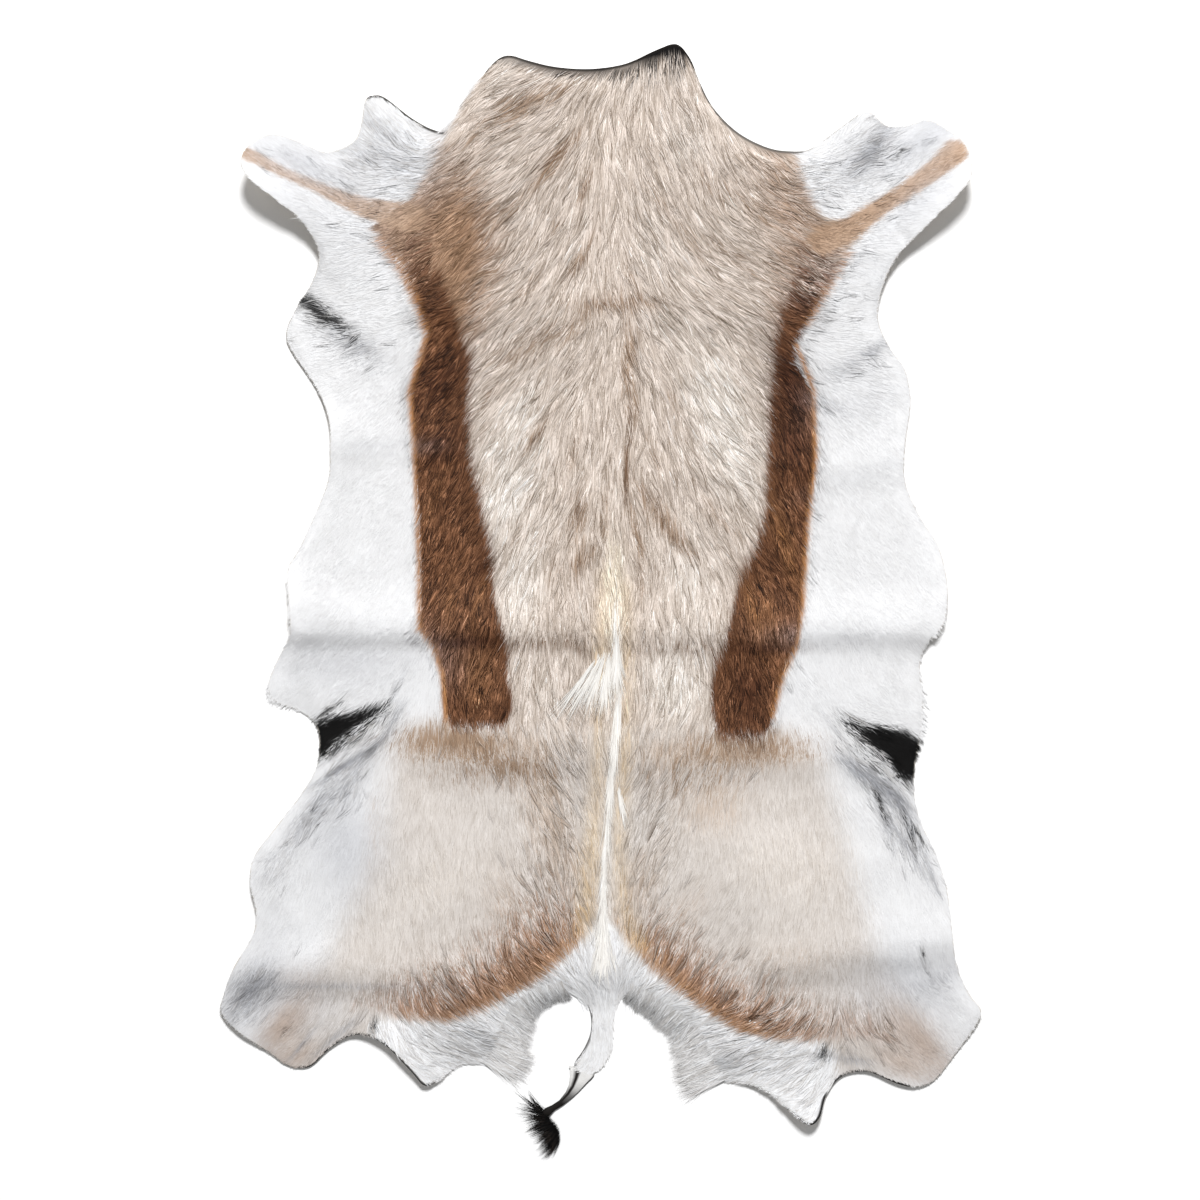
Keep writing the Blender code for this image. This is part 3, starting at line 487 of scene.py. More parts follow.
HAIR_KINDS = (
    (strip, HAUNCH, (46, 46, 30, 24), (17, 0.06, 0.1, 5, 0.94, 0.0, 1.4, 0.75)),
    (spots, LONG_HAUNCH_SPOTS, (), (20, 0.36, 0.3, 13, 0.84, 0.85, 1.6, 0.95)),
    (strip, SADDLE, (8, 8, 20, 12), (24, 0.5, 0.36, 15, 0.8, 0.95, 1.6, 1.0)),
    (spots, NECK_SPOTS, (), (28, 0.55, 0.36, 15, 0.8, 1.0, 1.6, 1.0)),
    (strip, LEFT_SHOULDER, (8, 56, 40, 60), SHOULDER_HAIR),
    (strip, RIGHT_SHOULDER, (60, 8, 50, 60), SHOULDER_HAIR),
    (strip, LEFT_STRIPE, (6, 14, 20, 60), STRIPE_HAIR),
    (strip, RIGHT_STRIPE, (16, 6, 20, 60), STRIPE_HAIR),
    (trail, LEFT_LEG_BAND, (10,), LEG_HAIR),
    (trail, RIGHT_LEG_BAND, (10,), LEG_HAIR),
    (hem, RUST_HEM, (8,), (22, 0.45, 0.85, 18, 0.75, 1.0, 1.5, 1.0)),
    (shelf, RUMP, (14, 10, 20, 20), (22, 0.4, 0.12, 10, 0.92, 1.0, 1.5, 0.8)),
    (trail, TAIL_LINE, (8,), (12, 0.2, 0.06, 6, 0.95, 0.3, 1.3, 0.7)),
    (spots, BLACK_SPOTS, (), (18, 0.4, 0.2, 10, 0.9, 0.8, 1.4, 1.0)),
    (spots, GREY_AND_PAINTED_CREASE_SPOTS, (), (15, 0.3, 0.14, 8, 0.92, 0.6, 1.4, 0.7)),
)
# How far hair may stand past the cut edge, in millimetres. Columns as for the spots.
OVERHANG = 1.4
OVERHANG_SPOTS = (
    (-128, 500, 30, 60, 0, 4), (-325, -92, 24, 24, 0, 8), (325, -105, 24, 40, 0, 14),
    (335, -25, 14, 24, 0, 6), (-310, 10, 12, 50, 0, 4), (-60, -400, 60, 30, 0, 8),
    (70, -420, 60, 30, 0, 8), (-34, -459, 9, 9, 0, 10), (350, 470, 40, 20, 0, 2),
)

# Where the cut edge shows as a dark line of bare skin. For each stretch: how dark it is from 0 to
# 1, how wide the bare margin is in millimetres, and rows of x, y and half width.
CUTS = (
    (1.0, 1.8, ((-103, 546, 9), (-72, 545, 9), (-45, 539, 9), (0, 536, 9), (55, 555, 9), (90, 552, 9))),
    (0.95, 2.2, ((-222, 510, 6), (-189, 488, 7), (-157, 475, 7))),
    (0.9, 1.8, ((102, 518, 7), (113, 498, 7), (137, 474, 7), (166, 459, 7), (192, 455, 6))),
    (0.5, 1.0, ((192, 455, 6), (211, 458, 7), (248, 482, 6))),
    (0.35, 0.8, ((-314, 285, 7), (-308, 254, 7), (-285, 220, 7), (-271, 180, 6))),
    (0.45, 0.9, ((-380, -398, 7), (-361, -426, 7), (-332, -445, 7), (-291, -460, 7))),
    (1.0, 1.9, ((-288, -458, 7), (-253, -430, 8), (-236, -428, 8), (-214, -438, 8), (-180, -473, 8))),
    (0.7, 1.4, ((148, -478, 6), (171, -488, 7), (195, -509, 8))),
    (1.0, 2.2, ((198, -511, 8), (219, -509, 8), (226, -487, 8), (242, -469, 8), (296, -476, 7))),
    (0.95, 1.6, ((-12, -400, 5), (-10, -426, 5), (-18, -445, 6), (-27, -460, 5))),
)

# The coarse and the fine wisps that short hair gathers into: how far apart their middles are, and
# how strongly they pull at its tips. Then how far single hairs stray from the comb, in degrees.
COARSE_WISPS = 6.5
COARSE_PULL = 0.7
FINE_WISPS = 1.9
FINE_PULL = 0.5
COMB_SCATTER = 7
# The wisps of longer hair that lie on the coat: how far apart they are, how many hairs each has, how
# far those spread at the root, the share of darker strands, and how much darker those are.
WISP_SPACING = 8.0
WISP_HAIRS = 11
WISP_SPREAD = 2.8
DARK_SHARE = 0.14
DARK_TONE = 1.6
# How wide single hairs are, least and most. Real hair is far finer and there is far more of it.
HAIR_WIDTHS = {
    "coat": (0.55, 0.95), "wisps": (0.35, 0.7), "rump": (0.35, 0.65), "spine": (0.4, 0.75),
    "tuft": (0.28, 0.5),
}

# The rump's loose hair past the cut edge. For each side: rows of x and y along the edge, then the
# headings and the lengths of its hair at even steps along it.
RUMP_SIDES = {
    "left": (
        ((-117, -456), (-99, -447), (-92, -424), (-80, -402), (-60, -388), (-36, -383)),
        (-18, -28, -38, -46, -52, -60), (46, 38, 30, 22, 17, 13),
    ),
    "right": (
        ((29, -386), (50, -397), (76, -414), (97, -434), (103, -457), (122, -474)),
        (-118, -126, -134, -144, -155, -165), (13, 17, 23, 31, 40, 46),
    ),
}
RUMP_HAIRS = 3400

# The long white hair on the spine. Columns: x and y of the lock's root, its heading, how far its
# hairs fan out in degrees, their length, half width and half length of the rooted patch, and how
# many hairs it has.
SPINE_LOCKS = (
    (15, 2, 270, 10, 46, 4, 16, 20), (16, -24, 270, 14, 66, 3, 8, 190),
    (9, -43, 263, 13, 68, 4, 6, 90), (6, -43, 252, 12, 72, 3, 6, 80),
    (4, -43, 243, 10, 80, 3, 6, 60), (2, -43, 235, 7, 86, 2, 6, 40),
    (18, -90, 266, 5, 60, 3.5, 18, 60), (15, -126, 266, 6, 54, 3, 14, 44),
    (11, -158, 267, 8, 58, 3, 10, 60), (17, -178, 281, 6, 42, 2, 6, 46),
    (8, -205, 265, 7, 54, 3, 18, 50), (5, -248, 265, 7, 50, 3, 18, 54),
    (3, -288, 267, 10, 46, 4, 16, 60), (3, -318, 268, 14, 40, 7, 12, 90),
    (3, -342, 269, 18, 32, 11, 8, 90),
)

# The tail's dried end. Columns: x, y, half width, half height, and how much of it is black.
TAIL_END = (
    (-18, -461, 13.5, 0.7, 0.0), (-19, -466, 13.0, 0.8, 0.0), (-22, -473, 9.5, 0.9, 0.05),
    (-26, -481, 6.5, 1.0, 0.35), (-31, -488, 4.6, 1.2, 0.8), (-39, -496, 3.2, 1.3, 1.0),
    (-47, -501, 3.0, 1.6, 1.0), (-53, -505, 4.4, 2.2, 1.0), (-57, -508, 3.0, 1.8, 1.0),
)
TAIL_AROUND = 32
# The tuft, along the tail's last bit: x and y of the roots, the heading of the hair at its root and
# at its tip, and its length. Then how many locks it has, and how many hairs each has along it.
TUFT = (
    (-57, -503, 146, 116, 44), (-56, -505, 168, 154, 42), (-53, -509, 190, 184, 32),
    (-49, -513, 207, 198, 31), (-45, -518, 225, 206, 32), (-42.5, -524, 245, 220, 34),
    (-43, -530, 260, 238, 34),
)
TUFT_LOCKS = 30
TUFT_LOCK_HAIRS = (9, 10, 17, 32, 48, 52, 34)


class PlanGrid:
    """A square grid over the hide in plan, and values on it that are read between its points."""

    def __init__(self, low, high):
        self.low = np.array(low, float) - GRID_MARGIN
        self.shape = tuple(np.ceil((np.array(high) + GRID_MARGIN - self.low) / GRID_STEP).astype(int) + 1)
        self.x = self.low[0] + GRID_STEP * np.arange(self.shape[0])
        self.y = self.low[1] + GRID_STEP * np.arange(self.shape[1])

    def read(self, values, x, y):
        """The values at these places, linear between the grid's points."""
        u = np.clip((x - self.low[0]) / GRID_STEP, 0, self.shape[0] - 1.001)
        v = np.clip((y - self.low[1]) / GRID_STEP, 0, self.shape[1] - 1.001)
        i, j = u.astype(int), v.astype(int)
        s, t = u - i, v - j
        near = values[i, j] * (1 - s) + values[i + 1, j] * s
        far = values[i, j + 1] * (1 - s) + values[i + 1, j + 1] * s
        return near * (1 - t) + far * t


def blurred(values, times):
    """Values on a grid, each mixed with its neighbours this many times."""
    for _ in range(times):
        for axis in (0, 1):
            values = 0.5 * values + 0.25 * (np.roll(values, 1, axis) + np.roll(values, -1, axis))
    return values


def filled_out(values, known, times):
    """Values on a grid, carried outwards from where they are known."""
    values = np.where(known, values, 0)
    weight = known.astype(float)
    for _ in range(times):
        spread_values, spread_weight = blurred(values, 1), blurred(weight, 1)
        grown = (weight == 0) & (spread_weight > 0)
        values = np.where(grown, spread_values / np.maximum(spread_weight, 1e-9), values)
        weight = np.where(grown, 1.0, weight)
    return values


def noise(x, y, size, seed):
    """Smooth noise from 0 to 1: random values on a lattice of this size, mixed by an S curve."""
    lattice = np.random.default_rng(seed).random((64, 64))
    u, v = x / size, y / size
    i, j = np.floor(u).astype(int), np.floor(v).astype(int)
    s, t = ramp(u - i), ramp(v - j)
    a, b = lattice[i % 64, j % 64], lattice[(i + 1) % 64, j % 64]
    c, d = lattice[i % 64, (j + 1) % 64], lattice[(i + 1) % 64, (j + 1) % 64]
    return (a * (1 - s) + b * s) * (1 - t) + (c * (1 - s) + d * s) * t


def sides_of(triangles):
    """The sides of triangles, each from one corner to the next."""
    return np.vstack([triangles[:, pair] for pair in ([0, 1], [1, 2], [2, 0])])


def cut_edge(solid):
    """The hide's edge in plan, in order: the border of the faces that look down."""
    mesh = solid.data
    corners = np.empty(len(mesh.vertices) * 3)
    mesh.vertices.foreach_get("co", corners)
    places, joined = np.unique(np.round(corners.reshape(-1, 3) / MM, 3), axis=0, return_inverse=True)
    triangles = np.empty(len(mesh.polygons) * 3, int)
    mesh.polygons.foreach_get("vertices", triangles)
    triangles = joined.ravel()[triangles].reshape(-1, 3)
    p, q, r = (places[triangles[:, k]] for k in range(3))
    facing = np.cross(q - p, r - p)
    down = triangles[facing[:, 2] < -0.5 * np.linalg.norm(facing, axis=1)]
    sides = sides_of(down)
    inner = {(b, a) for a, b in sides.tolist()}
    ahead = {a: b for a, b in sides.tolist() if (a, b) not in inner}
    start = here = next(iter(ahead))
    loop = [here]
    while ahead[here] != start:
        here = ahead[here]
        loop.append(here)
    return places[loop, :2]


def smoothed_loop(points, steps):
    """A closed Catmull-Rom curve through the points, with this many points for each."""
    p1 = points
    p0, p2, p3 = np.roll(p1, 1, 0), np.roll(p1, -1, 0), np.roll(p1, -2, 0)
    t = (np.arange(steps) / steps)[None, :, None]
    p0, p1, p2, p3 = (p[:, None, :] for p in (p0, p1, p2, p3))
    turn = (2 * p0 - 5 * p1 + 4 * p2 - p3) * t**2 + (3 * p1 - p0 - 3 * p2 + p3) * t**3
    return (0.5 * (2 * p1 + (p2 - p0) * t + turn)).reshape(-1, 2)


def depth_inside(grid, edge):
    """For each grid point its distance to the edge, positive inside and negative outside."""
    ahead = np.roll(edge, -1, 0)
    dx, dy = (ahead - edge).T
    length2 = dx * dx + dy * dy
    rise = np.where(dy == 0, 1e-9, dy)
    depth = np.empty(grid.shape)
    for column, x in enumerate(grid.x):
        u, v = x - edge[:, 0], grid.y[:, None] - edge[:, 1]
        t = np.clip((u * dx + v * dy) / length2, 0, 1)
        away = np.hypot(u - t * dx, v - t * dy).min(1)
        crosses = (edge[:, 1] > grid.y[:, None]) != (ahead[:, 1] > grid.y[:, None])
        inside = (crosses & (u < v / rise * dx)).sum(1) % 2 == 1
        depth[column] = np.where(inside, away, -away)
    return depth


def solid_heights(grid, solid):
    """Heights of the solid's underside and top over the grid, in millimetres."""
    build = bmesh.new()
    build.from_mesh(solid.data)
    tree = BVHTree.FromBMesh(build)
    build.free()
    below, above = np.full(grid.shape, np.nan), np.full(grid.shape, np.nan)
    for i, x in enumerate(grid.x * MM):
        for j, y in enumerate(grid.y * MM):
            hit = tree.ray_cast(Vector((x, y, -1)), Vector((0, 0, 1)))[0]
            if hit:
                below[i, j] = hit.z / MM
                above[i, j] = tree.ray_cast(Vector((x, y, 1)), Vector((0, 0, -1)))[0].z / MM
    known = ~np.isnan(below)
    reach = round(GRID_MARGIN / GRID_STEP)
    return tuple(
        blurred(filled_out(np.nan_to_num(v), known, reach), HEIGHT_BLUR) for v in (below, above)
    )


def comb_headings(grid):
    """Unit vectors over the grid along which the hair lies: a mean of the rows, near ones first."""
    back = [(out, y, turn) for y, row in COMB.items() for out, turn in row]
    sides = np.array([*back, *RUMP_COMB, *HOCK_COMB, *FLANK_COMB, *FORELEG_COMB], float)
    neck = np.array(ONE_SIDED_COMB, float)
    x = np.concatenate([SPINE_X + sides[:, 0], SPINE_X - sides[:, 0], neck[:, 0]])
    y = np.concatenate([sides[:, 1], sides[:, 1], neck[:, 1]])
    heading = np.radians(np.concatenate([270 + sides[:, 2], 270 - sides[:, 2], neck[:, 2]]))
    away2 = (grid.x[:, None, None] - x) ** 2 + (grid.y[None, :, None] - y) ** 2
    weight = (away2 + COMB_REACH**2) ** -2
    along, up = weight @ np.cos(heading), weight @ np.sin(heading)
    length = np.hypot(along, up)
    return along / length, up / length


class Hide:
    """The hide in plan: its edge, heights, distances to the edge and the way its hair lies."""

    def __init__(self, solid):
        self.edge = smoothed_loop(cut_edge(solid), EDGE_STEPS)
        self.grid = PlanGrid(self.edge.min(0), self.edge.max(0))
        self.depth_map = depth_inside(self.grid, self.edge)
        self.under_map, self.top_map = solid_heights(self.grid, solid)
        self.along_map, self.up_map = comb_headings(self.grid)
        self.slope_x, self.slope_y = np.gradient(self.top_map, GRID_STEP)

    def depth(self, x, y):
        """Distance to the cut edge, positive inside."""
        return self.grid.read(self.depth_map, x, y)

    def under(self, x, y):
        """Height of the flesh side."""
        return np.maximum(self.grid.read(self.under_map, x, y), 0)

    def pile(self, x, y):
        """Thickness of the lying hair over the skin."""
        return np.maximum(self.grid.read(self.top_map - self.under_map, x, y) - SKIN_THICKNESS, 0.6)

    def skin_top(self, x, y):
        """Height of the skin's upper layer: the skin, and away from the edge the underfur on it."""
        underfur = UNDERFUR * self.pile(x, y) * ramp((self.depth(x, y) - 1) / 9)
        return self.under(x, y) + SKIN_THICKNESS + underfur

    def between_furs(self, x, y, share):
        """Height at a share of the way from the skin's upper layer to the top of the lying hair."""
        low = self.skin_top(x, y)
        high = self.under(x, y) + SKIN_THICKNESS
        high = high + self.pile(x, y) * (0.55 + 0.45 * ramp(self.depth(x, y) / 14))
        return low + np.maximum(high - low, 0.4) * share

    def facing(self, x, y):
        """Unit vectors square to the hide's upper side, over arrays of any shape."""
        slopes = (self.grid.read(slope, x, y) for slope in (self.slope_x, self.slope_y))
        square = np.stack([*(-slope for slope in slopes), np.ones(np.shape(x))], -1)
        return square / np.linalg.norm(square, axis=-1, keepdims=True)

    def facing_along(self, paths):
        """The same under each point of the hairs."""
        return self.facing(paths[:, :, 0], paths[:, :, 1])

    def comb(self, x, y):
        """The way the hair lies there, with a slow waver of a few degrees."""
        waver = sum(degrees * (noise(x, y, size, seed) - 0.5) for degrees, size, seed in COMB_WAVER)
        along, up = self.grid.read(self.along_map, x, y), self.grid.read(self.up_map, x, y)
        return turned(along, up, np.radians(waver))


def coat_colour(x, y, dice=None):
    """The coat's colour in linear light, each region laid over those before it.

    With dice, a number from 0 to 1 for each hair, a hair takes a region's colour in full where
    the region's amount is over its number, as far as that region says."""
    colour = np.tile(palette("belly"), (len(x), 1))
    for region, rows, soft, name, strength, choice in COAT:
        amount = strength * region(x, y, rows, *soft)
        if dice is not None:
            chosen = np.clip(6 * amount - 5 * dice, 0, 1)
            amount = amount + (chosen - amount) * choice
        colour += (palette(name) - colour) * amount[:, None]
    return colour


def dice_of(own, rng):
    """Even numbers from 0 to 1, half of each from its wisp's own number and half from chance."""
    t = 0.5 * (own + rng.random(len(own)))
    return np.where(t < 0.5, 2 * t * t, 1 - 2 * (1 - t) ** 2)


def coat_traits(x, y):
    """The kind of hair that grows there, as one array for each of the traits."""
    traits = np.tile(np.array(BELLY_HAIR, float), (len(x), 1))
    for region, rows, soft, kind in HAIR_KINDS:
        traits += (np.array(kind) - traits) * region(x, y, rows, *soft)[:, None]
    return dict(zip(TRAITS, traits.T))


def cut_marks(x, y):
    """How dark the cut edge is near there, and how wide its bare margin."""
    dark, bare = np.zeros(len(x)), np.zeros(len(x))
    for darkness, width, rows in CUTS:
        near = trail(x, y, [(*row[:2], 2 * row[2]) for row in rows], 4)
        dark = np.maximum(dark, darkness * near)
        bare = np.maximum(bare, width * near)
    return dark, bare


def overhang(x, y):
    """How far hair may stand past the edge there: less than nothing at the margin of a dark cut."""
    dark, bare = cut_marks(x, y)
    return (OVERHANG + sum(bells(x, y, OVERHANG_SPOTS))) * (1 - dark) - bare * dark


def mesh_of(name, points, triangles):
    """A mesh object from arrays of points in metres and of triangles."""
    mesh = bpy.data.meshes.new(name)
    mesh.vertices.add(len(points))
    mesh.vertices.foreach_set("co", points.astype(np.float32).ravel())
    mesh.loops.add(3 * len(triangles))
    mesh.loops.foreach_set("vertex_index", triangles.astype(np.int32).ravel())
    mesh.polygons.add(len(triangles))
    mesh.polygons.foreach_set("loop_start", 3 * np.arange(len(triangles), dtype=np.int32))
    mesh.update(calc_edges=True)
    mesh.shade_smooth()
    made = bpy.data.objects.new(name, mesh)
    bpy.context.scene.collection.objects.link(made)
    return made


def store_colour(piece, name, colours):
    """A colour for each point of the piece."""
    layer = piece.data.color_attributes.new(name, "FLOAT_COLOR", "POINT")
    alpha = np.ones((len(colours), 1))
    layer.data.foreach_set("color", np.hstack([colours, alpha]).astype(np.float32).ravel())


def store_value(piece, name, values):
    """A number for each point of the piece."""
    layer = piece.data.attributes.new(name, "FLOAT", "POINT")
    layer.data.foreach_set("value", values.astype(np.float32))


def hair_normals(paths, sides, facing, share):
    """What each point of a hair faces: a mix of the coat's own facing and the hair's, by share."""
    across = np.cross(paths[:, -1] - paths[:, 0], sides)
    across /= np.linalg.norm(across, axis=1)[:, None]
    share = np.asarray(share).reshape(-1, 1, 1)
    mixed = np.broadcast_to(facing, paths.shape) * (1 - share) + across[:, None] * share
    return mixed / np.linalg.norm(mixed, axis=-1, keepdims=True)


def at_each_point(values):
    """Values of hairs by step, given to each mesh point: once at both ends and twice in between."""
    return np.concatenate([values[:, :1], np.repeat(values[:, 1:-1], 2, 1), values[:, -1:]], 1)


def root_to_tip(roots, tips, steps):
    """Colours of hairs by step, mixed evenly from one end to the other."""
    return roots[:, None] + (tips - roots)[:, None] * np.linspace(0, 1, steps)[None, :, None]


def make_hairs(name, paths, sides, widths, colours, normals):
    """Flat hairs along paths: pointed at both ends and as wide as their width in between.

    Paths are points of hair by step, in millimetres, and colours and normals are given for the same
    points. The two edges at each inner step lie half a width to both sides, shared out by a swell
    that peaks before the middle."""
    count, steps = paths.shape[:2]
    share = np.linspace(0, 1, steps)[1:-1]
    swell = np.sin(math.pi * share**0.8)[None, :, None]
    half = 0.5 * widths[:, None, None] * swell * sides[:, None, :]
    inner = paths[:, 1:-1]
    edges = np.stack([inner + half, inner - half], 2).reshape(count, -1, 3)
    points = np.concatenate([paths[:, :1], edges, paths[:, -1:]], 1)
    each = points.shape[1]
    left = 1 + 2 * np.arange(steps - 2)
    rungs = np.stack([left[:-1], left[:-1] + 1, left[1:] + 1, left[1:]], 1)
    quads = np.vstack([rungs[:, [0, 1, 2]], rungs[:, [0, 2, 3]]])
    pattern = np.vstack([[0, 2, 1], quads, [each - 3, each - 2, each - 1]])
    triangles = (np.arange(count)[:, None, None] * each + pattern).reshape(-1, 3)
    piece = mesh_of(name, points.reshape(-1, 3) * MM, triangles)
    along = np.concatenate([[0], np.repeat(share, 2), [1]])
    store_colour(piece, "hair_colour", at_each_point(colours).reshape(-1, 3))
    store_value(piece, "along", np.tile(along, count))
    piece.data.normals_split_custom_set_from_vertices(at_each_point(normals).reshape(-1, 3).tolist())
    lay_out_hairs(piece, triangles, count, each, along)
    return piece


def lay_out_hairs(piece, triangles, count, each, along):
    """Gives each hair a cell of its own on the texture, root at the bottom and tip at the top."""
    cells = math.ceil(math.sqrt(count))
    across = np.concatenate([[0.5], np.tile([0.05, 0.95], (each - 2) // 2), [0.5]])
    hair = np.arange(count)
    u = (hair % cells)[:, None] + across
    v = (hair // cells)[:, None] + 0.05 + 0.9 * along
    places = np.stack([u, v], 2).reshape(-1, 2) / cells
    layer = piece.data.uv_layers.new(name="OFBake")
    layer.data.foreach_set("uv", places[triangles.ravel()].astype(np.float32).ravel())


def wisps(x, y, size, seed):
    """The wisp that each hair belongs to: the nearest of the jittered centres of a square lattice.

    Returns its centre's x and y, and a number from 0 to 1 of its own."""
    jitter = np.random.default_rng(seed).random((128, 128, 3))
    i0, j0 = np.floor(x / size).astype(int), np.floor(y / size).astype(int)
    best = np.full(x.shape, NEVER)
    found = [np.zeros(x.shape) for _ in range(3)]
    for di in (-1, 0, 1):
        for dj in (-1, 0, 1):
            i, j = i0 + di, j0 + dj
            own = jitter[i % 128, j % 128]
            cx, cy = (i + own[:, 0]) * size, (j + own[:, 1]) * size
            away = np.hypot(x - cx, y - cy)
            near = away < best
            best = np.where(near, away, best)
            found = [np.where(near, new, old) for new, old in zip((cx, cy, own[:, 2]), found)]
    return found


def within_edge(hide, x, y, along, up, length, allowed):
    """Hairs' lengths, shortened where their tips would stand further past the edge than allowed."""
    kept = length * 0.15
    for share in (0.3, 0.45, 0.6, 0.8, 1.0):
        tip_depth = hide.depth(x + along * length * share, y + up * length * share)
        kept = np.where(tip_depth > -allowed, length * share, kept)
    return kept


def turned(along, up, angle):
    """Directions turned by an angle in radians."""
    c, s = np.cos(angle), np.sin(angle)
    return along * c - up * s, along * s + up * c


def toned(colour, tone):
    """Colours made darker and warmer, or lighter and paler, by a tone each: 0 leaves them."""
    return np.clip(colour * np.exp(tone[:, None] * np.array([0.9, 1.0, 1.12])), 0, 0.97)


def skewed_to_painted_shade(tone):
    """Tones with the light ones held back and the dark ones made deeper, so that dark hairs between light
    ones stand in for the shade in the gaps between wisps: painted shade.
    """
    return np.where(tone > 0, 0.55, 1.3) * tone


def rolled_sides(along, up, roll):
    """Unit vectors across hairs, tipped out of the level by a roll in radians."""
    return np.column_stack([-up * np.cos(roll), along * np.cos(roll), np.sin(roll)])


def grown(paths, sides, widths, colours, facing, share):
    """What make_hairs needs to know of these hairs, by name."""
    return {
        "paths": paths, "sides": sides, "widths": widths, "colours": colours,
        "normals": hair_normals(paths, sides, facing, share),
    }


def hair_colours(paths, dice, tone, root):
    """The coat's colour at each step of each hair, with the hair's own tone and a darker root."""
    colours = [toned(coat_colour(x, y, dice), tone) for x, y in paths[:, :, :2].transpose(1, 2, 0)]
    colours[0] = colours[0] * root[:, None]
    return np.stack(colours, 1)


def lattice_roots(hide, spacing, rng, inset, thinned):
    """Roots on a jittered square lattice, this far inside the cut edge, thinned out by that trait."""
    low, high = hide.edge.min(0), hide.edge.max(0)
    x, y = np.meshgrid(np.arange(low[0], high[0], spacing), np.arange(low[1], high[1], spacing))
    x = x.ravel() + rng.uniform(-0.5, 0.5, x.size) * spacing
    y = y.ravel() + rng.uniform(-0.5, 0.5, y.size) * spacing
    rooted = hide.depth(x, y) > inset + 0.5 * cut_marks(x, y)[1]
    x, y = x[rooted], y[rooted]
    kept = rng.random(len(x)) < coat_traits(x, y)[thinned]
    return x[kept], y[kept]


def grow_coat(hide, spacing):
    """The coat's short hair: two straight spans each, gathered towards the middles of wisps."""
    rng = np.random.default_rng(SEEDS["coat"])
    x, y = lattice_roots(hide, spacing, rng, 0.5, "density")
    count = len(x)
    traits = coat_traits(x, y)
    gather = traits["gather"]
    along, up = turned(*hide.comb(x, y), np.radians(rng.normal(0, COMB_SCATTER, count)))
    length = traits["length"] * rng.uniform(0.75, 1.2, count)
    allowed = overhang(x, y) * rng.uniform(0.1, 1.0, count)
    length = within_edge(hide, x, y, along, up, length, allowed)
    cx, cy, own = wisps(x, y, COARSE_WISPS, 21)
    fine_x, fine_y, fine_own = wisps(x, y, FINE_WISPS, 22)
    pull = gather * rng.uniform(0.4, 0.9, count) * np.minimum(1, length / 10)
    tip_x = x + along * length + (cx - x) * pull * COARSE_PULL + (fine_x - x) * pull * FINE_PULL
    tip_y = y + up * length + (cy - y) * pull * COARSE_PULL + (fine_y - y) * pull * FINE_PULL
    bend = length * rng.normal(0, 0.04, count)
    mid_x = 0.5 * (x + tip_x) - up * bend
    mid_y = 0.5 * (y + tip_y) + along * bend
    swell = 1 + gather * (0.7 * (own - 0.5) + 0.5 * (fine_own - 0.5))
    root_z = hide.between_furs(x, y, -0.1)
    relief = 0.15 + gather
    swell = swell * np.minimum(1, 0.25 + 1.6 * gather)
    mid_z = hide.between_furs(mid_x, mid_y, swell * (0.8 - 0.5 * relief * rng.random(count)))
    tip_z = hide.between_furs(tip_x, tip_y, swell * (1.05 - relief * rng.random(count)))
    paths = np.stack([
        np.column_stack([x, y, root_z]),
        np.column_stack([mid_x, mid_y, mid_z]),
        np.column_stack([tip_x, tip_y, tip_z]),
    ], 1)
    dice = dice_of(fine_own, rng)
    streak = 1.6 * (own * 7 % 1 - 0.5) + 2.0 * (fine_own * 7 % 1 - 0.5)
    ticking = np.minimum(traits["ticking"], coat_traits(tip_x, tip_y)["ticking"])
    # Tones skewed dark, so that darker hairs paint the shade between wisps.
    tone = ticking * skewed_to_painted_shade(0.9 * rng.normal(0, 1, count) + streak)
    sides = rolled_sides(along, up, np.radians(rng.normal(0, 1, count) * traits["roll"]))
    widths = rng.uniform(*HAIR_WIDTHS["coat"], count) * spacing / ROOT_SPACING
    colours = hair_colours(paths, dice, tone, traits["root"])
    return grown(paths, sides, widths, colours, hide.facing_along(paths), traits["roll"] / 30)


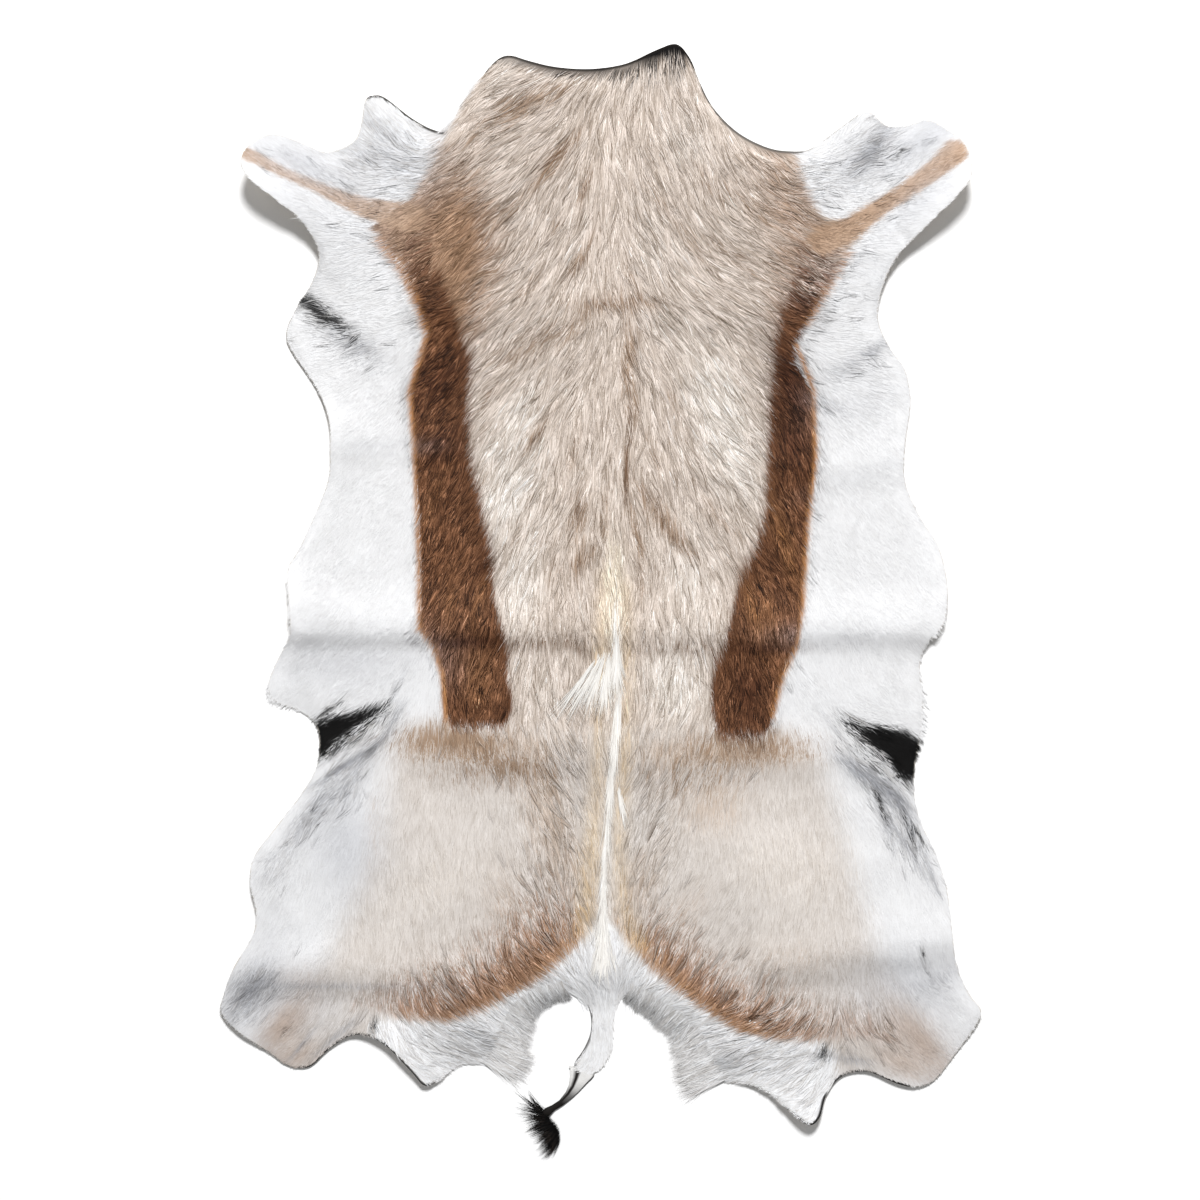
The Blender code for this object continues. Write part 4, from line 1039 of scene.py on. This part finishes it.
def grow_wisps(hide, spacing):
    """Wisps of longer hair on the coat: bundles that follow the comb and draw together at the tip.

    A hair's point at share s of its length is its wisp's point there plus its own offset times
    (1 - 0.8 s)."""
    rng = np.random.default_rng(SEEDS["wisps"])
    x, y = (np.repeat(v, WISP_HAIRS) for v in lattice_roots(hide, spacing, rng, 2.0, "wisps"))
    count = len(x)
    wisp = np.repeat(np.arange(count // WISP_HAIRS), WISP_HAIRS)
    wisp_count = wisp[-1] + 1
    own_turn = np.radians(rng.normal(0, 9, wisp_count))[wisp]
    own_tone = rng.normal(0, 1, wisp_count)[wisp]
    own_length = rng.uniform(0.75, 1.25, wisp_count)[wisp]
    traits = coat_traits(x, y)
    offset_x, offset_y = rng.normal(0, WISP_SPREAD, (2, count))
    root_x, root_y = x + offset_x, y + offset_y
    along, up = turned(*hide.comb(root_x, root_y), own_turn + np.radians(rng.normal(0, 4, count)))
    length = traits["length"] * traits["reach"] * own_length * rng.uniform(0.8, 1.1, count)
    length = within_edge(hide, root_x, root_y, along, up, length, overhang(x, y))
    walk_x, walk_y = x.copy(), y.copy()
    points = []
    rise = (-0.1, 0.9, 1.5, 1.25)
    spans = len(rise) - 1
    for step, share in enumerate(np.linspace(0, 1, len(rise))):
        if step:
            way_x, way_y = turned(*hide.comb(walk_x, walk_y), own_turn)
            walk_x = walk_x + way_x * length / spans
            walk_y = walk_y + way_y * length / spans
        here_x = walk_x + offset_x * (1 - 0.8 * share)
        here_y = walk_y + offset_y * (1 - 0.8 * share)
        here_z = hide.between_furs(here_x, here_y, rise[step] * rng.uniform(0.75, 1.1, count))
        points.append(np.column_stack([here_x, here_y, here_z]))
    rooted = hide.depth(root_x, root_y) > 1.5
    dice = dice_of(rng.random(wisp_count)[wisp], rng)
    dark_strand = (rng.random(count) < DARK_SHARE) * DARK_TONE
    ticking = np.minimum(traits["ticking"], coat_traits(here_x, here_y)["ticking"])
    # Tones skewed dark, so that darker hairs paint the shade between wisps.
    tone = ticking * skewed_to_painted_shade(0.4 * own_tone + 0.9 * rng.normal(0, 1, count) - dark_strand)
    paths = np.stack(points, 1)
    sides = rolled_sides(along, up, np.radians(rng.normal(0, 1, count) * traits["roll"]))
    widths = rng.uniform(*HAIR_WIDTHS["wisps"], count)
    colours = hair_colours(paths, dice, tone, traits["root"])
    made = grown(paths, sides, widths, colours, hide.facing_along(paths), traits["roll"] / 30)
    return {key: value[rooted] for key, value in made.items()}


def free_hairs(rng, root_x, root_y, start, end, lengths, heights, steps):
    """Paths of hairs that turn evenly from one heading to another, in degrees, at given heights.

    heights are points of hair by step."""
    headings = np.radians(start[:, None] + (end - start)[:, None] * np.linspace(0, 1, steps - 1))
    step = lengths[:, None] / (steps - 1)
    still = np.zeros((len(root_x), 1))
    x = root_x[:, None] + np.hstack([still, np.cumsum(step * np.cos(headings), 1)])
    y = root_y[:, None] + np.hstack([still, np.cumsum(step * np.sin(headings), 1)])
    roll = np.radians(rng.normal(0, 20, len(root_x)))
    middle = np.radians(0.5 * (start + end))
    return np.stack([x, y, heights], 2), rolled_sides(np.cos(middle), np.sin(middle), roll)


def grow_rump(hide, rows, headings, lengths, seed):
    """The loose hair on one side of the rump, from just inside the cut edge down to the floor."""
    rng = np.random.default_rng(seed)
    count = RUMP_HAIRS
    share = rng.uniform(-0.04, 1.04, count)
    line = smoothed_line(rows, 40)
    edge_x, edge_y = (spread(line[:, k], share) for k in (0, 1))
    start = spread(headings, share) + 18 * (noise(edge_x, edge_y, 7, 41) - 0.5)
    start = start + rng.normal(0, 7, count)
    inset = 0.5 + 13 * rng.random(count) ** 1.3
    root_x = edge_x - inset * np.cos(np.radians(start))
    root_y = edge_y - inset * np.sin(np.radians(start))
    curl = rng.normal(0, 11, count) + 16 * (noise(edge_x, edge_y, 5, 42) - 0.5)
    wisp = noise(edge_x, edge_y, 5, 44)
    length = spread(lengths, share) * (0.25 + 0.6 * rng.random(count) + 0.35 * wisp) + inset
    steps = 6
    along = np.linspace(0, 1, steps)[None, :] * length[:, None]
    top = hide.between_furs(root_x, root_y, 0.9)
    fall = ramp((along - inset[:, None] + 3) / 20)
    resting = rng.uniform(0.3, 2.6, count)[:, None]
    heights = top[:, None] * (1 - fall) + resting * fall
    heights[:, 0] = hide.between_furs(root_x, root_y, -0.1)
    paths, sides = free_hairs(rng, root_x, root_y, start, start + curl, length, heights, steps)
    # Short hair by the arch darkens towards its tips: partly grey hair, partly painted shade of hair
    # lying over the floor.
    arch = np.clip(1.35 - (length - inset) / 20, 0, 1)[:, None]
    tone = 0.14 * rng.normal(0, 1, count) - 0.3 * noise(root_x, root_y, 3, 43)
    outer = toned(palette("rump white") * (1 - arch) + palette("arch grey and painted shade") * arch, tone)
    inner = toned(np.tile(palette("rump"), (count, 1)), tone)
    widths = rng.uniform(*HAIR_WIDTHS["rump"], count)
    return grown(paths, sides, widths, root_to_tip(inner, outer, steps), UPWARDS, 0.4)


def grow_spine(hide):
    """The locks of long white hair that lie along the spine."""
    rng = np.random.default_rng(SEEDS["spine"])
    *shapes, hairs = np.array(SPINE_LOCKS, float).T
    x0, y0, heading, fan, length, half_width, half_length = np.repeat(shapes, hairs.astype(int), 1)
    count = len(x0)
    across, back = rng.normal(0, 0.5, count), rng.uniform(-1, 1, count)
    c, s = np.cos(np.radians(heading)), np.sin(np.radians(heading))
    root_x = x0 - s * across * half_width + c * back * half_length
    root_y = y0 + c * across * half_width + s * back * half_length
    end = heading + across * fan * 1.6 + rng.normal(0, 2.5, count)
    start = heading - across * fan * 0.5
    lengths = length * rng.uniform(0.6, 1.1, count)
    steps = 6
    flat, sides = free_hairs(rng, root_x, root_y, start, end, lengths, np.zeros((count, steps)), steps)
    rise = np.array([-0.1, 0.9, 1.6, 2.0, 2.0, 1.6]) * rng.uniform(0.8, 1.25, count)[:, None]
    flat[:, :, 2] = hide.between_furs(flat[:, :, 0], flat[:, :, 1], rise)
    colour = toned(np.tile(palette("spine white"), (count, 1)), 0.08 * rng.normal(0, 1, count))
    widths = rng.uniform(*HAIR_WIDTHS["spine"], count)
    colours = root_to_tip(colour * 0.9, colour, steps)
    return grown(flat, sides, widths, colours, hide.facing_along(flat), 0.4)


def grow_tuft():
    """The tuft's black hair: locks that fan out, draw to points and lie on the floor."""
    rng = np.random.default_rng(SEEDS["tuft"])
    share = np.linspace(0, 1, TUFT_LOCKS)
    at_x, at_y, starts, ends, reach = (spread(column, share) for column in np.array(TUFT, float).T)
    ends += rng.normal(0, 7, TUFT_LOCKS)
    reach *= rng.uniform(0.78, 1.04, TUFT_LOCKS)
    hairs = np.round(spread(TUFT_LOCK_HAIRS, share)).astype(int)
    locks = (at_x, at_y, starts, ends, reach)
    root_x, root_y, start, end, length = (np.repeat(values, hairs) for values in locks)
    count = len(start)
    drift = rng.normal(0, 1, count)
    length = length * (1.08 - 0.84 * rng.random(count) ** 0.6)
    root_x = root_x + rng.normal(0, 1.2, count)
    root_y = root_y + rng.normal(0, 1.2, count)
    steps = 7
    fall = ramp(np.linspace(0, 1.6, steps))[None, :]
    rooted, resting = rng.uniform(1.5, 5.5, count)[:, None], rng.uniform(0.2, 3.0, count)[:, None]
    heights = rooted * (1 - fall) + resting * fall
    start, end = start + 6 * drift, end - 4 * drift
    paths, sides = free_hairs(rng, root_x, root_y, start, end, length, heights, steps)
    roots = toned(np.tile(palette("black"), (count, 1)), 0.3 * rng.normal(0, 1, count))
    tips = np.where(rng.random(count)[:, None] < 0.3, palette("tuft brown"), roots)
    widths = rng.uniform(*HAIR_WIDTHS["tuft"], count)
    return grown(paths, sides, widths, root_to_tip(roots, tips, steps), UPWARDS, 0.7)


def spread(values, shares):
    """Values given at even steps from 0 to 1, read at these shares."""
    return np.interp(shares, np.linspace(0, 1, len(values)), values)


def smoothed_line(rows, steps):
    """Points at even shares along a broken line, its corners rounded by a running mean."""
    rows = np.array(rows, float)
    share = np.linspace(0, 1, steps)
    line = np.column_stack([spread(rows[:, 0], share), spread(rows[:, 1], share)])
    for _ in range(4):
        line[1:-1] = 0.25 * line[:-2] + 0.5 * line[1:-1] + 0.25 * line[2:]
    return line


def make_skin(hide):
    """The tanned skin: two even layers over the outline, a skin's thickness apart, and its cut edge.

    The lower layer is at the hide's underside. The upper one also holds the underfur, which fills
    most of the pile away from the edge. Points inside the outline are on a square lattice."""
    rng = np.random.default_rng(SEEDS["skin"])
    low, high = hide.edge.min(0), hide.edge.max(0)
    x, y = np.meshgrid(np.arange(low[0], high[0], SKIN_STEP), np.arange(low[1], high[1], SKIN_STEP))
    x, y = (v.ravel() + rng.uniform(-0.15, 0.15, v.size) * SKIN_STEP for v in (x, y))
    inside = hide.depth(x, y) > MARGINS[-1] + 1.5
    way = np.roll(hide.edge, -1, 0) - np.roll(hide.edge, 1, 0)
    way /= np.linalg.norm(way, axis=1)[:, None]
    inwards = np.column_stack([-way[:, 1], way[:, 0]])
    if hide.depth(*(hide.edge + MARGINS[0] * inwards).T).mean() < 0:
        inwards = -inwards
    rings = []
    for margin in MARGINS:
        ring = hide.edge + margin * inwards
        rings.append(ring[hide.depth(*ring.T) > 0.75 * margin])
    plan = np.vstack([hide.edge, *rings, np.column_stack([x[inside], y[inside]])])
    loop = list(range(len(hide.edge)))
    verts, _, faces, *_ = delaunay_2d_cdt([Vector(p) for p in plan.tolist()], [], [loop], 1, 1e-6)
    plan = np.array([tuple(v) for v in verts])
    upper = np.array([f for f in faces if len(f) == 3])
    a, b, c = (plan[upper[:, k]] for k in range(3))
    turn = (b[:, 0] - a[:, 0]) * (c[:, 1] - a[:, 1]) - (b[:, 1] - a[:, 1]) * (c[:, 0] - a[:, 0])
    upper = np.where((turn < 0)[:, None], upper[:, ::-1], upper)
    sides = {tuple(side) for side in sides_of(upper).tolist()}
    rim = np.array(sorted(side for side in sides if side[::-1] not in sides))
    count = len(plan)
    x, y = plan.T
    depth, (dark, bare) = hide.depth(x, y), cut_marks(x, y)
    points = np.vstack([
        np.column_stack([plan, hide.skin_top(x, y)]), np.column_stack([plan, hide.under(x, y)]),
    ])
    wall = np.vstack([
        np.column_stack([rim[:, 0] + count, rim[:, 1] + count, rim[:, 1]]),
        np.column_stack([rim[:, 0] + count, rim[:, 1], rim[:, 0]]),
    ])
    triangles = np.vstack([upper, upper[:, ::-1] + count, wall])
    skin = mesh_of("skin", points * MM, triangles)
    layer = np.concatenate([np.zeros(len(upper)), np.ones(len(upper)), np.full(len(wall), 2)])
    skin.data.polygons.foreach_set("material_index", layer.astype(np.int32))
    tone = coat_colour(x, y) * coat_traits(x, y)["root"][:, None]
    margin = palette("bare skin") * (1 - dark[:, None]) + palette("cut dark") * dark[:, None]
    near = (1 - ramp((depth - 0.7 * bare) / (0.8 + 0.5 * bare)))[:, None]
    tone = tone * (1 - near) + margin * near
    store_colour(skin, "skin_colour", np.vstack([tone, tone]))
    return skin


def make_tail_end():
    """The tail's dried end: elliptic rings along a bent line, closed to a point at both ends.

    Ring i is path(i) + half width * cos(a) across + half height * (1 + sin(a)) up."""
    rows = np.array(TAIL_END, float)
    stations = np.linspace(0, len(rows) - 1, 4 * len(rows) - 3)
    x, y, half_width, half_height, black = (np.interp(stations, np.arange(len(rows)), v) for v in rows.T)
    around = TAIL_AROUND
    angle = 2 * math.pi * np.arange(around) / around
    way = np.gradient(np.column_stack([x, y]), axis=0)
    way /= np.linalg.norm(way, axis=1)[:, None]
    across = half_width[:, None] * np.cos(angle)
    rings = np.stack([
        x[:, None] - way[:, 1:] * across,
        y[:, None] + way[:, :1] * across,
        half_height[:, None] * (1 + np.sin(angle)) + 0.1,
    ], 2)
    count = len(stations)
    ends = np.array([[x[0], y[0], half_height[0]], [x[-1], y[-1], half_height[-1]]])
    points = np.vstack([rings.reshape(-1, 3), ends])
    ring, step = np.meshgrid(np.arange(count - 1), np.arange(around), indexing="ij")
    a = (ring * around + step).ravel()
    b = (ring * around + (step + 1) % around).ravel()
    c, d = b + around, a + around
    step = np.arange(around)
    after = (step + 1) % around
    first = np.column_stack([np.full(around, len(points) - 2), after, step])
    far = (count - 1) * around
    last = np.column_stack([np.full(around, len(points) - 1), step + far, after + far])
    triangles = np.vstack([np.column_stack([a, b, c]), np.column_stack([a, c, d]), first, last])
    tail = mesh_of("tail_end", points * MM, triangles)
    sideways = np.cos(angle)
    fold, rim = between(sideways, -0.55, -0.12, 0.2, 0.2), ramp((sideways - 0.84) / 0.1)
    edge = np.maximum(fold, rim)[None, :]
    dark = np.clip(black[:, None] + edge * ramp(stations - 0.2)[:, None], 0, 1).ravel()
    dark = np.append(dark, [0, 1])[:, None]
    store_colour(tail, "skin_colour", palette("dried skin") * (1 - dark) + palette("cut dark") * dark)
    return tail


def feed(tree, node, inputs):
    """Sets a node's inputs, by name or number, to a value or to what comes out of a socket."""
    for key, value in inputs.items():
        if isinstance(value, bpy.types.NodeSocket):
            tree.links.new(value, node.inputs[key])
        else:
            node.inputs[key].default_value = value


def add_node(tree, kind, inputs, operation=None):
    """A shader node of this kind, fed in that way."""
    node = tree.nodes.new("ShaderNode" + kind)
    if operation:
        node.operation = operation
    feed(tree, node, inputs)
    return node


def add_group(tree, group, inputs):
    """A node that stands for a shared group, fed in the same way."""
    node = tree.nodes.new("ShaderNodeGroup")
    node.node_tree = group
    feed(tree, node, inputs)
    return node


def stored(tree, name, kind):
    """What comes out of a colour or a number stored on the mesh's points."""
    node = tree.nodes.new("ShaderNodeAttribute")
    node.attribute_name = name
    return node.outputs[kind]


def node_group(name, inputs, outputs):
    """An empty shader group with these sockets, by name and kind."""
    group = bpy.data.node_groups.new(name, "ShaderNodeTree")
    for way, sockets in (("INPUT", inputs), ("OUTPUT", outputs)):
        for label, kind in sockets.items():
            group.interface.new_socket(name=label, in_out=way, socket_type="NodeSocket" + kind)
    return group, group.nodes.new("NodeGroupInput").outputs, group.nodes.new("NodeGroupOutput")


def hair_tone_group():
    """Hair's colour: darker at the root, paler at the tip, and mottled in fine and broad patches."""
    group, given, result = node_group(
        "hair_tone",
        {
            "Colour": "Color", "Along": "Float", "Root Shade": "Float", "Tip Light": "Float",
            "Mottle": "Float",
        },
        {"Colour": "Color", "Roughness": "Float"},
    )
    place = add_node(group, "TexCoord", {}).outputs["Object"]
    patches = add_node(group, "TexNoise", {"Scale": 55, "Detail": 4, "Vector": place}).outputs["Fac"]
    tone = add_node(group, "MapRange", {
        "Value": given["Along"], "To Min": given["Root Shade"], "To Max": given["Tip Light"],
    })
    centred = add_node(group, "Math", {0: patches, 1: 0.5}, "SUBTRACT")
    mottle = add_node(group, "Math", {
        0: centred.outputs[0], 1: given["Mottle"], 2: tone.outputs["Result"],
    }, "MULTIPLY_ADD")
    shaded = add_node(group, "VectorMath", {0: given["Colour"], "Scale": mottle.outputs[0]}, "SCALE")
    gloss = add_node(group, "MapRange", {"Value": patches, "To Min": 0.5, "To Max": 0.72})
    feed(group, result, {"Colour": shaded.outputs["Vector"], "Roughness": gloss.outputs["Result"]})
    return group


def blank_material(name):
    """A new material, its node tree and its shader."""
    made = bpy.data.materials.new(name)
    made.use_nodes = True
    return made, made.node_tree, made.node_tree.nodes["Principled BSDF"]


def hair_material(name, tone_group, root_shade, tip_light, mottle, specular):
    """Hair that takes its colour from its own points, through the shared tone group."""
    made, tree, shader = blank_material(name)
    tone = add_group(tree, tone_group, {
        "Colour": stored(tree, "hair_colour", "Color"), "Along": stored(tree, "along", "Fac"),
        "Root Shade": root_shade, "Tip Light": tip_light, "Mottle": mottle,
    })
    feed(tree, shader, {
        "Base Color": tone.outputs["Colour"], "Roughness": tone.outputs["Roughness"],
        "Specular IOR Level": specular,
    })
    return made


def grain_group():
    """Leather's grain: fine cells and broad patches as a height, and the patches as a tone."""
    group, given, result = node_group(
        "grain", {"Scale": "Float", "Strength": "Float"}, {"Tone": "Float", "Normal": "Vector"}
    )
    place = add_node(group, "TexCoord", {}).outputs["Object"]
    cells = add_node(group, "TexVoronoi", {"Vector": place, "Scale": given["Scale"]})
    patches = add_node(group, "TexNoise", {"Scale": 30, "Detail": 6, "Vector": place}).outputs["Fac"]
    height = add_node(group, "Math", {0: patches, 1: 2, 2: cells.outputs["Distance"]}, "MULTIPLY_ADD")
    bump = add_node(group, "Bump", {
        "Distance": 0.0004, "Strength": given["Strength"], "Height": height.outputs[0],
    })
    tone = add_node(group, "MapRange", {
        "Value": patches, "From Min": 0.3, "From Max": 0.7, "To Min": 0.86, "To Max": 1.08,
    })
    feed(group, result, {"Tone": tone.outputs["Result"], "Normal": bump.outputs["Normal"]})
    return group


def leather_material(name, grain, scale, strength, roughness, colour=None):
    """Skin with grain, in one colour or in the colours stored on its points."""
    made, tree, shader = blank_material(name)
    marks = add_group(tree, grain, {"Scale": scale, "Strength": strength})
    shown = stored(tree, "skin_colour", "Color") if colour is None else colour
    shaded = add_node(tree, "VectorMath", {0: shown, "Scale": marks.outputs["Tone"]}, "SCALE")
    feed(tree, shader, {
        "Base Color": shaded.outputs["Vector"], "Normal": marks.outputs["Normal"],
        "Roughness": roughness, "Specular IOR Level": 0.15,
    })
    return made


def finish_piece(piece, materials, nodes):
    """Gives a piece its materials and the nodes that it replaces."""
    for material in materials:
        piece.data.materials.append(material)
    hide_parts(*nodes)
    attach(piece, "root")
    return piece


def dress():
    """Makes every piece of the hide. The coat is cut into pieces along the hide, by its roots' y."""
    hide = Hide(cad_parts["hide"])
    spacing = ROOT_SPACING
    tone, grain = hair_tone_group(), grain_group()
    coat_hair = hair_material(
        "coat_hair", tone, root_shade=0.95, tip_light=1.0, mottle=0.12, specular=0.12
    )
    white_hair = hair_material(
        "long_white_hair", tone, root_shade=0.95, tip_light=1.0, mottle=0.06, specular=0.2
    )
    black_hair = hair_material(
        "black_tail_hair", tone, root_shade=0.9, tip_light=1.1, mottle=0.3, specular=0.08
    )
    haired_skin = leather_material("haired_skin", grain, scale=900, strength=0.5, roughness=0.8)
    flesh = leather_material(
        "flesh_side", grain, scale=500, strength=0.8, roughness=0.75, colour=(0.66, 0.60, 0.52)
    )
    cut = leather_material("cut_edge", grain, scale=1200, strength=0.6, roughness=0.7)
    skin = finish_piece(make_skin(hide), (haired_skin, flesh, cut), ["hide"])
    short = grow_coat(hide, spacing)
    long = grow_wisps(hide, WISP_SPACING * spacing / ROOT_SPACING)
    for hairs, names in (
        (short, ("coat_haunches", "coat_loin", "coat_saddle", "coat_shoulders", "coat_neck")),
        (long, ("wisps_hind", "wisps_fore")),
    ):
        order = np.argsort(hairs["paths"][:, 0, 1])
        for name, part in zip(names, np.array_split(order, len(names))):
            piece = make_hairs(name, **{key: value[part] for key, value in hairs.items()})
            finish_piece(piece, [coat_hair], ["hide"])
    for turn, (side, rows) in enumerate(RUMP_SIDES.items()):
        name = "rump_hair_" + side
        piece = make_hairs("loose_" + name, **grow_rump(hide, *rows, SEEDS["rump"] + turn))
        finish_piece(piece, [white_hair], [name])
    spine = make_hairs("spine_locks", **grow_spine(hide))
    finish_piece(spine, [white_hair], ["spine_fan"])
    finish_piece(make_tail_end(), [cut], ["tail_tuft"])
    finish_piece(make_hairs("tuft", **grow_tuft()), [black_hair], ["tail_tuft"])


def set_stage():
    """A pale floor, one soft lamp beyond the neck, white surroundings, and the camera overhead."""
    floor_size, floor_white = 6, 0.97
    lamp_size, lamp_power, lamp_place = 1.7, 505, (0.15, 4.0, 4.8)
    surround = 0.28
    camera_place, half_view = (-0.0005, 0.0065, 4.0), 0.6
    scene = bpy.context.scene
    bpy.ops.mesh.primitive_plane_add(size=floor_size, location=(0, 0, 0))
    floor = bpy.context.object
    floor.name = "floor"
    made, tree, shader = blank_material("floor_white")
    feed(tree, shader, {"Base Color": (floor_white, floor_white, floor_white, 1), "Roughness": 0.9})
    floor.data.materials.append(made)
    lamp = bpy.data.lights.new("key", "AREA")
    lamp.shape = "DISK"
    lamp.size = lamp_size
    lamp.energy = lamp_power
    key = bpy.data.objects.new("key", lamp)
    key.location = lamp_place
    key.rotation_euler = (Vector((0, 0, 0)) - key.location).to_track_quat("-Z", "Y").to_euler()
    world = bpy.data.worlds.new("studio")
    scene.world = world
    world.use_nodes = True
    tree = world.node_tree
    feed(tree, tree.nodes["Background"], {"Color": (1, 1, 1, 1), "Strength": surround})
    scene.view_settings.view_transform = "Standard"
    lens = bpy.data.cameras.new("camera")
    lens.angle = 2 * math.atan(half_view / camera_place[2])
    camera = bpy.data.objects.new("camera", lens)
    camera.location = camera_place
    for placed in (key, camera):
        scene.collection.objects.link(placed)
    scene.camera = camera


dress()
set_stage()
